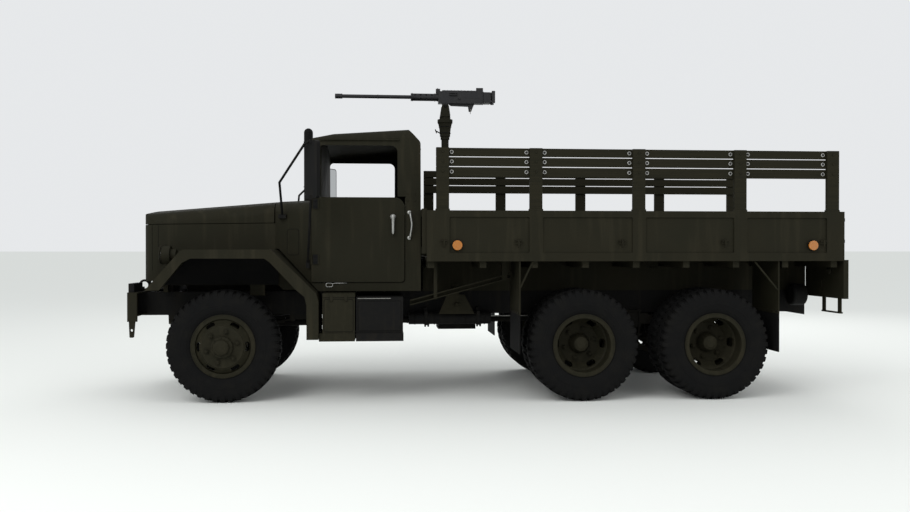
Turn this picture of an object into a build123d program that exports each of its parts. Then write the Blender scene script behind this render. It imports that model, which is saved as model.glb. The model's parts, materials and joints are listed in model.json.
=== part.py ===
from build123d import *
import os
from math import cos, degrees, radians, sin, tan

# Millimetres. +X is forward, +Y the truck's left, +Z up, and the ground is at zero.
# A station is a distance rearwards of the front axle.
FRONT_END = -900.0
REAR_END = 5860.0
X_FRONT_AXLE = (REAR_END + FRONT_END) / 2

WHEELBASE = 3912.0
BOGIE_SPACING = 1240.0
REAR_AXLES = {"middle": WHEELBASE - BOGIE_SPACING / 2, "rear": WHEELBASE + BOGIE_SPACING / 2}
SIDES = {"left": 1, "right": -1}

TYRE_RADIUS = 515.0
TYRE_WIDTH = 260.0
RIM_RADIUS = 258.0
RIM_FLANGE_RADIUS = 290.0
RIM_WIDTH = 204.0
RIM_THICKNESS = 8.0
DISC_OFFSET = 145.0
HAND_HOLES = 6
HAND_HOLE_LENGTH = 88.0
HAND_HOLE_HEIGHT = 44.0
FRONT_TYRE_Y = 862.0
REAR_DISC_Y = 895.0
BRAKE_DRUM_RADIUS = 205.0
SPINDLE_RADIUS = 42.0
RUNNING_GAP = 0.3

KINGPIN_Y = 700.0
KNUCKLE_BALL_RADIUS = 105.0
KNUCKLE_SHELL_RADIUS = 134.0
STEERING_ARM = 232.0
TIE_ROD_Y = 612.0
TIE_ROD_Z = 430.0

RAIL_Y = 430.0
RAIL_FLANGE = 68.0
RAIL_THICKNESS = 8.0
RAIL_BOTTOM = 767.0
RAIL_TOP = 990.0
RAIL_REAR = 5742.0

BUMPER_HALF = 770.0
BUMPER_BOTTOM = 780.0
BUMPER_END_BOTTOM = 730.0
BUMPER_TOP = 1000.0
BUMPER_DEPTH = 92.0
TOW_EYE_STATION = -862.0
TOW_EYE_Z = 650.0
TOW_EYE_RADIUS = 13.0
TONGUE_Y = 740.0
TONGUE_THICKNESS = 28.0

GUARD_HALF = 440.0
GUARD_DEPTH = 18.0
GUARD_BOTTOM = 1116.0
GUARD_TOP = 1600.0
GUARD_RAIL = 24.0
GUARD_BARS = 13
GUARD_BAR = 12.0

HOOD_HALF = 620.0
HOOD_REAR = 420.0
HOOD_SHEET = 14.0
HOOD_CROWN_FRONT = 1792.0
HOOD_RISE = 0.083
HOOD_HINGE_STATION = 385.0
HOOD_HINGE_Z = 1860.0
HOOD_CROWN_RADIUS = 2400.0
HOOD_SHOULDER_DROP = 70.0
HOOD_SHOULDER_RADIUS = 110.0
NOSE_FRONT = -800.0
NOSE_TOP = 1758.0
NOSE_CORNER = 150.0
# how far ahead of the nose's flat front its corner curves would meet
NOSE_TIP = 5.0
NOSE_ROUND = 95.0
CREASE_FRONT_Z = 1632.0
CREASE_REAR_Z = 1650.0
FENDER_TOP = 1396.0
FENDER_SHEET = 12.0
FENDER_Y = 1150.0
APRON_Y = 596.0

COWL_FRONT = 430.0
CAB_FRONT = 746.0
CAB_REAR = 1800.0
CAB_HALF = 905.0
CAB_BOTTOM = 1012.0
CAB_BELT = 1880.0
WINDSCREEN_STATION = 800.0
COWL_CROWN = 1896.0
CAB_WALL = 30.0
DOOR_FRONT = 792.0
DOOR_REAR = 1647.0
DOOR_BOTTOM = 1096.0
DOOR_GAP = 6.0
DOOR_HINGES = (1262.0, 1772.0)
DOOR_PIN = 8.0
WINDOW_FRONT = 862.0
WINDOW_REAR = 1584.0
WINDOW_TOP = 2365.0
ROOF_FRONT = 792.0
ROOF_CORNER_Z = 2454.0
ROOF_RISE = 0.0686
VISOR_CORNER_Z = 2428.0
VISOR_RISE = 0.2
ROOF_CROWN = 102.0
ROOF_SHEET = 26.0
WINDSCREEN_TOP = 2408.0

BED_FRONT = 1840.0
BED_REAR = 5740.0
BED_HALF = 1215.0
BED_FLOOR_Z = 1330.0
FLOOR_BOTTOM = 1300.0
BED_TOP = 1749.0
BED_SIDE = 45.0
TAIL_REAR = 5788.0
TAIL_SHEET = 10.0
GATE_REAR = 5773.0
GATE_BOTTOM = 1318.0
HINGE_BARREL = 9.0
BRACE_Y = 1182.0
BRACE_RADIUS = 9.0
MUD_GUARDS = (2686.0, 5116.0)
SIDE_BOTTOM = 1290.0
STAKE_STATIONS = (1983.5, 2831.8, 3785.3, 4740.8, 5631.1)
STAKE_WIDTH = 115.0
POCKET_BOTTOM = 1440.0
POST_INNER = 1174.0
POST_OUTER = 1211.0
SLAT = 25.0
ROPE_HOOKS = (1995.0, 2670.0, 3625.0, 4590.0, 5533.0)
RACK_TOP = 2315.0
# slat bottom, slat top
RACK_SLATS = ((2057.0, 2142.0), (2151.0, 2231.0), (2240.0, 2315.0))

GUN_STATION = 2091.0
GUN_AXIS_Z = 2970.0

FRONT_SPRING_Y = (366.0, 430.0)
FRONT_SPRING_HALF = 560.0
FRONT_SPRING_EYE_Z = 722.0
FRONT_SPRING_PAD_Z = 600.0
REAR_SPRING_Y = (462.0, 552.0)
REAR_SPRING_HALF = 665.0
REAR_SPRING_DROP = 46.0
TRUNNION_Z = 600.0
REAR_SEAT_Z = TRUNNION_Z + 62
ROD_Y = 507.0
ROD_Z = 420.0
UPPER_ROD_Y = 190.0
LEAF = 13.0

PINION_Z = 686.0
PINION_REACH = 150.0

# fender outline, outer edge: station, height, radius
FENDER_OUTER = (
    (-646, 1034, 0), (-330, FENDER_TOP, 70), (452, FENDER_TOP, 40),
    (850, 1006, 40), (872, 930, 30), (872, 587, 0),
)

# the lip's inner edge: station, height, radius
FENDER_LIP = (
    (-523, 1034, 0), (-326, 1278, 30), (-251, 1316, 30), (396, 1315, 30), (446, 1277, 30),
    (672, 1035, 30), (748, 972, 30), (766, 894, 20), (766, 587, 0),
)

DRIVER_Y = 430.0
MIRROR_STATION = 831.0
MIRROR_Y = 1320.0
MIRROR_Z = 2094.0
MIRROR_TURN = 38.0
STACK_STATION = 622.0
STACK_Y = -862.0
STACK_TOP = 2754.0

# front station, rear station, low y, high y, low z, high z
TAIL_PLATE = (
    (BED_REAR, BED_REAR + TAIL_SHEET, 457, 1200, 934, FLOOR_BOTTOM),
    (BED_REAR, TAIL_REAR, 1188, 1200, 934, FLOOR_BOTTOM),
    (BED_REAR, TAIL_REAR, 457, 469, 934, FLOOR_BOTTOM),
    (BED_REAR, TAIL_REAR, 457, 1200, 934, 946),
    (BED_REAR + 12, BED_REAR + 24, 775, 830, 796, 940),
    (BED_REAR + 12, BED_REAR + 24, 1070, 1125, 796, 940),
    (BED_REAR + 4, BED_REAR + 34, 775, 1125, 792, 806),
)
# upper station and height, lower station and height
MUD_BRACES = (((2805, 1284), (2691, 1048)), ((4890, 1284), (5111, 1021)))

# cross-member: front station, rear station, bottom, top
CROSS_MEMBERS = (
    (-860, -800, 800, 960),
    (-640, -560, 830, 967),
    (1300, 1380, 890, 967),
    (1890, 1950, 890, 967),
    (2450, 2510, 790, 967),
    (WHEELBASE - 110, WHEELBASE + 110, RAIL_BOTTOM + 33, 967),
    (4950, 5010, 790, 967),
    (RAIL_REAR - 60, RAIL_REAR, 775, 982),
)


def at(station):
    """Forward coordinate of a station."""
    return X_FRONT_AXLE - station


def slab(front, rear, low_y, high_y, low_z, high_z):
    """Box between two stations, two widths and two heights."""
    centre = (at((front + rear) / 2), (low_y + high_y) / 2, (low_z + high_z) / 2)
    return Pos(*centre) * Box(rear - front, high_y - low_y, high_z - low_z)


def mirrored(shape):
    """The same shape on the truck's right."""
    return mirror(shape, about=Plane.XZ)


def pair(shape):
    """A shape with its twin on the other side."""
    return [shape, mirrored(shape)]


def rounded_face(corners, place):
    """Face whose outline runs through corners (across, up, radius), each rounded by its radius."""
    edges = []
    ends = []
    count = len(corners)
    for index, (across, up, radius) in enumerate(corners):
        before = corners[index - 1]
        after = corners[(index + 1) % count]
        corner = Vector(across, up)
        to_before = (Vector(before[0], before[1]) - corner).normalized()
        to_after = (Vector(after[0], after[1]) - corner).normalized()
        if radius == 0:
            ends.append((corner, corner))
            continue
        half = radians(to_before.get_angle(to_after)) / 2
        start = corner + to_before * (radius / tan(half))
        end = corner + to_after * (radius / tan(half))
        middle = corner + (to_before + to_after).normalized() * (radius / sin(half) - radius)
        edges.append(ThreePointArc(place(start), place(middle), place(end)))
        ends.append((start, end))
    for index in range(count):
        leave = ends[index][1]
        arrive = ends[(index + 1) % count][0]
        if (leave - arrive).length > 0.01:
            edges.append(Line(place(leave), place(arrive)))
    return Face(Wire.combine(edges)[0])


def side_plate(corners, low_y, high_y):
    """Plate whose side view has corners (station, height) or (station, height, radius)."""
    rounded = [(*corner, 0)[:3] for corner in corners]
    face = rounded_face(rounded, lambda p: Vector(at(p.X), low_y, p.Y))
    return extrude(face, amount=high_y - low_y, dir=(0, 1, 0))


def cross_plate(corners, front, rear):
    """Plate seen from the front, with corners (y, height) or (y, height, radius)."""
    rounded = [(*corner, 0)[:3] for corner in corners]
    face = rounded_face(rounded, lambda p: Vector(at(rear), p.X, p.Y))
    return extrude(face, amount=rear - front, dir=(1, 0, 0))


def rising_section(corners, front, rear, rise):
    """Section seen from the front, carried rearwards while it rises by a share of the run."""
    rounded = [(*corner, 0)[:3] for corner in corners]
    face = rounded_face(rounded, lambda p: Vector(at(front), p.X, p.Y))
    run = Vector(front - rear, 0, rise * (rear - front))
    return extrude(face, amount=run.length, dir=run.normalized())


def floor_plate(corners, low_z, high_z):
    """Plate seen from above, with corners (station, y) or (station, y, radius)."""
    rounded = [(*corner, 0)[:3] for corner in corners]
    face = rounded_face(rounded, lambda p: Vector(at(p.X), p.Y, low_z))
    return extrude(face, amount=high_z - low_z, dir=(0, 0, 1))


def bar(start, end, radius):
    """Round bar between two points (station, y, height)."""
    first = Vector(at(start[0]), start[1], start[2])
    last = Vector(at(end[0]), end[1], end[2])
    direction = last - first
    face = Plane(origin=first, z_dir=direction.normalized()) * Circle(radius)
    return extrude(face, amount=direction.length, dir=direction.normalized())


def tube_along(points, radius, bend):
    """Bent tube, solid, through points (station, y, height) with one bend radius."""
    path = FilletPolyline(*[(at(s), y, z) for s, y, z in points], radius=bend)
    start = path @ 0
    section = Plane(origin=start, z_dir=path % 0) * Circle(radius)
    return sweep(section, path=path)


def turned(profile, station, height, side=1):
    """Solid of revolution about the cross axis; profile corners are (y, radius)."""
    face = Face(Wire.make_polygon([(at(station), side * y, height + r) for y, r in profile], close=True))
    return revolve(face, axis=Axis((at(station), 0, height), (0, 1, 0)), revolution_arc=360)


def cross_cylinder(station, low_y, high_y, height, radius):
    """Cylinder along the cross axis."""
    return bar((station, low_y, height), (station, high_y, height), radius)


def export(node, shapes):
    """One node: its solids, joined where they touch."""
    joined = shapes[0].fuse(*shapes[1:]) if len(shapes) > 1 else shapes[0]
    solids = list(joined) if isinstance(joined, ShapeList) else [joined]
    found = [piece for solid in solids for piece in solid.solids()]
    whole = found[0] if len(found) == 1 else Compound(children=found)
    export_step(whole, f"parts/{node}.step")


def tyre(station, centre_y, side):
    """Balloon tyre section, turned about the wheel's axis."""
    half = TYRE_WIDTH / 2
    bead = RIM_WIDTH / 2 - RIM_THICKNESS - 1
    # distance from the middle plane, radius
    flank = [
        (bead, RIM_RADIUS + 0.5),
        (bead, RIM_FLANGE_RADIUS + 6),
        (half, TYRE_RADIUS * 0.73),
        (half * 0.96, TYRE_RADIUS * 0.88),
        (half * 0.74, TYRE_RADIUS),
    ]
    profile = flank + [(-y, r) for y, r in reversed(flank)]
    return turned([(centre_y + y, r) for y, r in profile], station, TYRE_RADIUS, side)


def rim(station, centre_y, outward, side):
    """Rim with its dished disc; outward is +1 where the disc stands out of the rim."""
    half = RIM_WIDTH / 2
    sheet = RIM_THICKNESS
    # distance from the rim's middle plane, radius
    band = [
        (-half, RIM_RADIUS - sheet), (-half, RIM_FLANGE_RADIUS), (sheet - half, RIM_FLANGE_RADIUS),
        (sheet - half, RIM_RADIUS), (half - sheet, RIM_RADIUS), (half - sheet, RIM_FLANGE_RADIUS),
        (half, RIM_FLANGE_RADIUS), (half, RIM_RADIUS - sheet),
    ]
    plate = 12.0
    face = DISC_OFFSET
    shoulder = 190.0
    disc = [
        (half - 60, RIM_RADIUS - sheet), (half - 20, RIM_RADIUS - sheet), (face, shoulder), (face, 70.0),
        (face - plate, 70.0), (face - plate, shoulder - 6), (half - 50, RIM_RADIUS - sheet - 14),
    ]
    parts = [turned([(centre_y + outward * y, r) for y, r in profile], station, TYRE_RADIUS, side)
             for profile in (band, disc)]
    wheel = parts[0].fuse(parts[1])
    hole_radius = (RIM_RADIUS + shoulder) / 2 - 8
    middle = side * (centre_y + outward * (face + half - 40) / 2)
    for index in range(HAND_HOLES):
        turn = radians(360 / HAND_HOLES * (index + 0.5))
        across, up = hole_radius * sin(turn), hole_radius * cos(turn)
        centre = Pos(at(station) + across, middle, TYRE_RADIUS + up)
        slot = extrude(Plane.XZ * SlotOverall(HAND_HOLE_LENGTH, HAND_HOLE_HEIGHT), amount=65, both=True)
        wheel = wheel.cut(centre * Rot(0, degrees(turn), 0) * slot)
    return wheel


def hub(station, disc_y, cap_out, drum_in, side):
    """Hub with its cap outboard of the disc and the brake drum inboard, bored for the spindle."""
    bore = SPINDLE_RADIUS + RUNNING_GAP
    drum = BRAKE_DRUM_RADIUS
    # y, radius
    body = [
        (disc_y + 8 - drum_in, bore), (disc_y + 8 - drum_in, 66), (disc_y - 34, 66),
        (disc_y - 34, drum - 14),
        (disc_y - drum_in, drum - 14), (disc_y - drum_in, drum), (disc_y - 12, drum), (disc_y - 12, 70),
        (disc_y + 20, 70), (disc_y + 20, 96), (disc_y + 34, 96), (disc_y + cap_out - 40, 76),
        (disc_y + cap_out - 12, 66), (disc_y + cap_out, 40), (disc_y + cap_out, 0), (disc_y + 30, 0),
        (disc_y + 30, bore),
    ]
    # flange plate between the drum and the nuts' face
    flange = [(disc_y, 60), (disc_y, 100), (disc_y + 20, 100), (disc_y + 20, 60)]
    solid = turned(body, station, TYRE_RADIUS, side)
    return solid.fuse(turned(flange, station, TYRE_RADIUS, side))


def front_wheels():
    """Single front wheels: the disc stands outwards."""
    disc_y = FRONT_TYRE_Y + DISC_OFFSET
    for name, side in SIDES.items():
        export(f"tyre_front_{name}", [tyre(0, FRONT_TYRE_Y, side)])
        export(f"wheel_front_{name}", [rim(0, FRONT_TYRE_Y, 1, side), hub(0, disc_y, 78, 150, side)])


def rear_wheels():
    """Twin rear wheels: both discs meet on the hub, the outer one deep inside its rim."""
    centres = ((REAR_DISC_Y + DISC_OFFSET, -1), (REAR_DISC_Y - DISC_OFFSET, 1))
    for axle, station in REAR_AXLES.items():
        for name, side in SIDES.items():
            tyres = [tyre(station, centre_y, side) for centre_y, outward in centres]
            rims = [rim(station, centre_y, outward, side) for centre_y, outward in centres]
            export(f"tyres_{axle}_{name}", tyres)
            export(f"wheels_{axle}_{name}", rims + [hub(station, REAR_DISC_Y, 130, 165, side)])


def spindle_profile(disc_y, root_y):
    """Spindle from the backing plate to inside the hub."""
    return [(root_y, 0), (root_y, SPINDLE_RADIUS), (disc_y + 22, SPINDLE_RADIUS), (disc_y + 22, 0)]


def knuckles():
    """Steering knuckles: a part sphere round the axle's ball, with spindle, backing plate and arm."""
    disc_y = FRONT_TYRE_Y + DISC_OFFSET
    centre = (at(0), KINGPIN_Y, TYRE_RADIUS)
    for name, side in SIDES.items():
        shell = Pos(*centre) * Sphere(KNUCKLE_SHELL_RADIUS)
        shell = shell.cut(Pos(*centre) * Sphere(KNUCKLE_BALL_RADIUS + 1))
        low_z, high_z = TYRE_RADIUS - 200, TYRE_RADIUS + 200
        shell = shell.cut(slab(-200, 200, KINGPIN_Y - 200, KINGPIN_Y - 6, low_z, high_z))
        boss = Pos(*centre) * Cylinder(38, 300)
        boss = boss.cut(Pos(*centre) * Sphere(KNUCKLE_SHELL_RADIUS - 4))
        outer = KINGPIN_Y + KNUCKLE_SHELL_RADIUS - 8
        spindle = turned(spindle_profile(disc_y, outer), 0, TYRE_RADIUS)
        plate_y = disc_y - 160
        plate = turned([(outer, 0), (outer, 90), (plate_y - 8, 90), (plate_y - 8, BRAKE_DRUM_RADIUS - 20),
                        (plate_y, BRAKE_DRUM_RADIUS - 20), (plate_y, 0)], 0, TYRE_RADIUS)
        arm_top = TIE_ROD_Z + 52
        arm = floor_plate([(60, KINGPIN_Y + 60), (60, KINGPIN_Y), (STEERING_ARM - 10, TIE_ROD_Y - 26, 20),
                           (STEERING_ARM + 30, TIE_ROD_Y - 26, 20), (STEERING_ARM + 30, TIE_ROD_Y + 30, 20),
                           (140, KINGPIN_Y + 40)], arm_top - 26, arm_top)
        arm = arm.cut(Pos(*centre) * Sphere(KNUCKLE_SHELL_RADIUS - 4))
        knuckle = shell.fuse(boss, spindle, plate, arm)
        export(f"knuckle_{name}", [knuckle if side > 0 else mirrored(knuckle)])


def tie_rod():
    """Tie rod across the truck, just below the steering arms, with its end balls."""
    rod = cross_cylinder(STEERING_ARM, -TIE_ROD_Y, TIE_ROD_Y, TIE_ROD_Z, 17)
    ends = [Pos(at(STEERING_ARM), side * TIE_ROD_Y, TIE_ROD_Z) * Cylinder(28, 40) for side in SIDES.values()]
    export("tie_rod", [rod] + ends)


def axle_housing(station, reach, pinion_z, pinion_reach):
    """Banjo housing with a raised carrier and pinion nose, and tapered tubes to each side."""
    banjo = turned([(-70, 0), (-70, 110), (-46, 165), (46, 165), (70, 110), (70, 0)], station, TYRE_RADIUS)
    half_tube = [(60, 95), (120, 56), (reach, 56), (reach, 0)]
    tube = turned([(-y, r) for y, r in reversed(half_tube)] + half_tube, station, TYRE_RADIUS)
    carrier = bar((station - pinion_reach, 0, pinion_z), (station + pinion_reach, 0, pinion_z), 78)
    neck = slab(station - 105, station + 105, -62, 62, TYRE_RADIUS + 60, pinion_z + 40)
    ends = [(station + way * pinion_reach, station + way * (pinion_reach + 26)) for way in (-1, 1)]
    flanges = [bar((inner, 0, pinion_z), (outer, 0, pinion_z), 52) for inner, outer in ends]
    return [banjo, tube, carrier, neck] + flanges


def axle_brackets():
    """Spring seats on the three housings, and the torque rods' brackets on the rear two."""
    low_y, high_y = FRONT_SPRING_Y
    pieces = pair(slab(-70, 70, low_y, high_y, TYRE_RADIUS, FRONT_SPRING_PAD_Z))
    low_y, high_y = REAR_SPRING_Y
    seat = REAR_SEAT_Z - REAR_SPRING_DROP
    for station in REAR_AXLES.values():
        pieces += pair(slab(station - 45, station + 45, low_y, high_y, TYRE_RADIUS, seat))
        top = TYRE_RADIUS - 20
        bracket = side_plate([(station - 36, 392, 20), (station + 36, 392, 20), (station + 36, top),
                              (station - 36, top)], ROD_Y - 27, ROD_Y + 27)
        pieces += pair(bracket)
        pieces.append(slab(station - 26, station + 26, UPPER_ROD_Y - 30, UPPER_ROD_Y + 30, TYRE_RADIUS, 722))
    return pieces


def axles():
    """Front driving axle with its steering balls, and the two rear driving axles."""
    pieces = axle_housing(0, KINGPIN_Y - 60, PINION_Z - 38, PINION_REACH)
    pieces += pair(Pos(at(0), KINGPIN_Y, TYRE_RADIUS) * Sphere(KNUCKLE_BALL_RADIUS))
    for station in REAR_AXLES.values():
        pieces += axle_housing(station, 700, PINION_Z, PINION_REACH)
        plate_y = REAR_DISC_Y - 175
        plate = turned([(plate_y - 60, 0), (plate_y - 60, 84), (plate_y - 8, 84), (plate_y - 8, 185),
                        (plate_y, 185), (plate_y, 0)], station, TYRE_RADIUS)
        spindle = turned(spindle_profile(REAR_DISC_Y, plate_y), station, TYRE_RADIUS)
        pieces += pair(plate) + pair(spindle)
    export("axles", pieces + axle_brackets())


def leaf(centre_station, centre_z, radius, half_angle, thickness, low_y, high_y, way):
    """One curved leaf: an arc strip about a centre above (way 1) or below (way -1) the spring."""
    def point(r, angle):
        return Vector(at(centre_station + r * sin(angle)), low_y, centre_z - way * r * cos(angle))
    inner, outer = radius, radius + thickness
    edges = [
        ThreePointArc(point(inner, -half_angle), point(inner, 0), point(inner, half_angle)),
        Line(point(inner, half_angle), point(outer, half_angle)),
        ThreePointArc(point(outer, half_angle), point(outer, 0), point(outer, -half_angle)),
        Line(point(outer, -half_angle), point(inner, -half_angle)),
    ]
    return extrude(Face(Wire.combine(edges)[0]), amount=high_y - low_y, dir=(0, 1, 0))


def front_spring():
    """Front leaf spring: leaves of falling length, eyes at both ends, hangers and axle pad."""
    low_y, high_y = FRONT_SPRING_Y
    leaves = 6
    rise = FRONT_SPRING_EYE_Z - FRONT_SPRING_PAD_Z - leaves * LEAF
    radius = (FRONT_SPRING_HALF ** 2 + rise ** 2) / (2 * rise)
    centre_z = FRONT_SPRING_PAD_Z + leaves * LEAF + radius
    pieces = []
    for index in range(leaves):
        reach = FRONT_SPRING_HALF * (1 - 0.13 * index) / radius
        pieces.append(leaf(0, centre_z, radius + index * LEAF, reach, LEAF, low_y, high_y, 1))
    for way in (-1, 1):
        eye_station = way * (FRONT_SPRING_HALF + 14)
        pieces.append(cross_cylinder(eye_station, low_y, high_y, FRONT_SPRING_EYE_Z, 24))
        front, rear = eye_station - 30, eye_station + 30
        pieces.append(slab(front, rear, low_y, high_y, FRONT_SPRING_EYE_Z, RAIL_BOTTOM))
    pieces.append(slab(604, 762, low_y, high_y, 716, RAIL_BOTTOM))
    pieces.append(slab(-80, 80, low_y, high_y, FRONT_SPRING_PAD_Z + leaves * LEAF - 2,
                       FRONT_SPRING_PAD_Z + leaves * LEAF + 22))
    return pieces


def rear_spring():
    """Rear leaf pack over the trunnion, its ends resting on the two axles."""
    low_y, high_y = REAR_SPRING_Y
    leaves = 8
    seat_z = REAR_SEAT_Z
    drop = REAR_SPRING_DROP
    radius = (REAR_SPRING_HALF ** 2 + drop ** 2) / (2 * drop)
    centre_z = seat_z - radius
    pieces = []
    for index in range(leaves):
        reach = REAR_SPRING_HALF * (1 - 0.11 * index) / radius
        pieces.append(leaf(WHEELBASE, centre_z, radius + index * LEAF, reach, LEAF, low_y, high_y, -1))
    top = seat_z + leaves * LEAF
    pieces.append(slab(WHEELBASE - 90, WHEELBASE + 90, low_y, high_y, top - 6, top + 18))
    pieces.append(slab(WHEELBASE - 90, WHEELBASE + 90, low_y, high_y, TRUNNION_Z + 30, seat_z + 4))
    return pieces


def suspension():
    """Springs, the bogie's cross shaft and its torque rods."""
    pieces = []
    for piece in front_spring() + rear_spring():
        pieces += pair(piece)
    low_y, high_y = REAR_SPRING_Y
    pieces.append(cross_cylinder(WHEELBASE, -high_y - 14, high_y + 14, TRUNNION_Z, 40))
    hanger = side_plate([(WHEELBASE - 120, RAIL_BOTTOM), (WHEELBASE - 60, TRUNNION_Z - 60, 30),
                         (WHEELBASE + 60, TRUNNION_Z - 60, 30), (WHEELBASE + 120, RAIL_BOTTOM)],
                        RAIL_Y - RAIL_FLANGE, RAIL_Y)
    pieces += pair(hanger)
    arm_form = [(WHEELBASE - 50, TRUNNION_Z), (WHEELBASE - 40, 396, 20), (WHEELBASE + 40, 396, 20),
                (WHEELBASE + 50, TRUNNION_Z)]
    drop_arm = side_plate(arm_form, low_y + 20, high_y - 20)
    pieces += pair(drop_arm)
    for station in REAR_AXLES.values():
        way = 1 if station > WHEELBASE else -1
        pieces += pair(bar((WHEELBASE + way * 30, ROD_Y, ROD_Z), (station - way * 36, ROD_Y, ROD_Z), 21))
        inner = (WHEELBASE + way * 20, UPPER_ROD_Y, 768)
        pieces.append(bar(inner, (station - way * 28.4, UPPER_ROD_Y, 702), 21))
    low_y, high_y = UPPER_ROD_Y - 40, UPPER_ROD_Y + 40
    pieces.append(slab(WHEELBASE - 40, WHEELBASE + 40, low_y, high_y, 745, RAIL_BOTTOM + 33))
    return pieces


def chassis_frame():
    """Two channel rails open inwards, with their cross-members."""
    web = RAIL_Y - RAIL_THICKNESS
    lip = RAIL_Y - RAIL_FLANGE
    low = RAIL_BOTTOM + RAIL_THICKNESS
    high = RAIL_TOP - RAIL_THICKNESS
    front = FRONT_END + 10
    channel = cross_plate([(RAIL_Y, RAIL_BOTTOM), (RAIL_Y, RAIL_TOP), (lip, RAIL_TOP), (lip, high),
                           (web, high), (web, low), (lip, low), (lip, RAIL_BOTTOM)], front, RAIL_REAR)
    pieces = pair(channel)
    gusset = [(5536, RAIL_BOTTOM + 1), (RAIL_REAR, 735), (RAIL_REAR, RAIL_BOTTOM + 1)]
    pieces += pair(side_plate(gusset, web, RAIL_Y))
    for front, rear, bottom, top in CROSS_MEMBERS:
        beam = slab(front, rear, -web, web, bottom, top)
        pocket = slab(front - 1, rear - 10, -web + 40, web - 40, bottom + 10, top - 10)
        pieces.append(beam.cut(pocket))
    export("chassis_frame", pieces)


def front_bumper():
    """Channel bumper open to the rear, with deeper end plates and a hanging tongue at each end."""
    rear = FRONT_END + BUMPER_DEPTH
    plate = 10.0
    inner_front = FRONT_END + plate
    section = [(FRONT_END, BUMPER_BOTTOM), (rear, BUMPER_BOTTOM), (rear, BUMPER_BOTTOM + plate),
               (inner_front, BUMPER_BOTTOM + plate), (inner_front, BUMPER_TOP - plate),
               (rear, BUMPER_TOP - plate), (rear, BUMPER_TOP), (FRONT_END, BUMPER_TOP)]
    channel = side_plate(section, -BUMPER_HALF, BUMPER_HALF)
    end_plate = slab(FRONT_END, rear - 6, TONGUE_Y, BUMPER_HALF, BUMPER_END_BOTTOM, BUMPER_TOP)
    tongue = side_plate([(-886, BUMPER_END_BOTTOM + 2), (-880, 583, 8), (-845, 583, 8),
                         (-832, BUMPER_END_BOTTOM + 2)], TONGUE_Y, TONGUE_Y + TONGUE_THICKNESS)
    tongue = tongue.cut(cross_cylinder(TOW_EYE_STATION, 700, 800, TOW_EYE_Z, TOW_EYE_RADIUS))
    rail_slot = slab(FRONT_END + plate, rear + 1, RAIL_Y - RAIL_FLANGE, RAIL_Y, RAIL_BOTTOM,
                     BUMPER_BOTTOM + plate + 1)
    channel = solids_of(channel.cut(rail_slot, mirrored(rail_slot)))
    export("front_bumper", [channel] + pair(end_plate) + pair(tongue))


def grille_guard():
    """Upright flat bars between two rails against the nose, on two legs from the bumper."""
    rear = NOSE_FRONT
    front = NOSE_FRONT - GUARD_DEPTH
    pieces = [slab(front, rear, -GUARD_HALF, GUARD_HALF, GUARD_TOP - GUARD_RAIL, GUARD_TOP),
              slab(front, rear, -GUARD_HALF, GUARD_HALF, GUARD_BOTTOM, GUARD_BOTTOM + GUARD_RAIL)]
    pitch = (2 * GUARD_HALF - GUARD_BAR) / (GUARD_BARS - 1)
    for index in range(GUARD_BARS):
        y = -GUARD_HALF + index * pitch
        pieces.append(slab(front, rear, y, y + GUARD_BAR, GUARD_BOTTOM + 1, GUARD_TOP - 1))
    for y in (-330, 300):
        pieces.append(slab(front, rear, y, y + 30, BUMPER_TOP, GUARD_BOTTOM + 2))
        pieces.append(slab(FRONT_END + 60, rear, y, y + 30, BUMPER_TOP, BUMPER_TOP + 12))
    export("grille_guard", pieces)


def tow_fittings():
    """Bumper pads, lifting shackles at the front and the pintle hook at the rear."""
    pads = pair(slab(FRONT_END + 5, FRONT_END + 56, 450, 745, BUMPER_TOP, 1082))
    pieces = pads
    ring = Pos(at(-838), 400, BUMPER_TOP + 56) * Rot(90, 0, 0) * Torus(44, 11)
    lug = slab(-868, -842, 384, 416, BUMPER_TOP, 1040)
    pieces += pair(ring.fuse(lug))
    base = slab(RAIL_REAR, RAIL_REAR + 26, -95, 95, 790, 950)
    shank = slab(RAIL_REAR + 20, RAIL_REAR + 50, -32, 32, 830, 930)
    jaw = side_plate([(RAIL_REAR + 40, 826), (REAR_END, 826, 24), (REAR_END, 902, 10),
                      (REAR_END - 24, 902, 10), (REAR_END - 24, 862, 8), (RAIL_REAR + 62, 862, 8),
                      (RAIL_REAR + 62, 934), (RAIL_REAR + 40, 934)], -26, 26)
    latch = side_plate([(RAIL_REAR + 40, 934), (RAIL_REAR + 40, 958, 10), (REAR_END - 6, 958, 20),
                        (REAR_END - 6, 904), (REAR_END - 26, 904), (REAR_END - 26, 934)], -18, 18)
    pieces += [base, shank, jaw, latch]
    export("tow_fittings", pieces)


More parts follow.
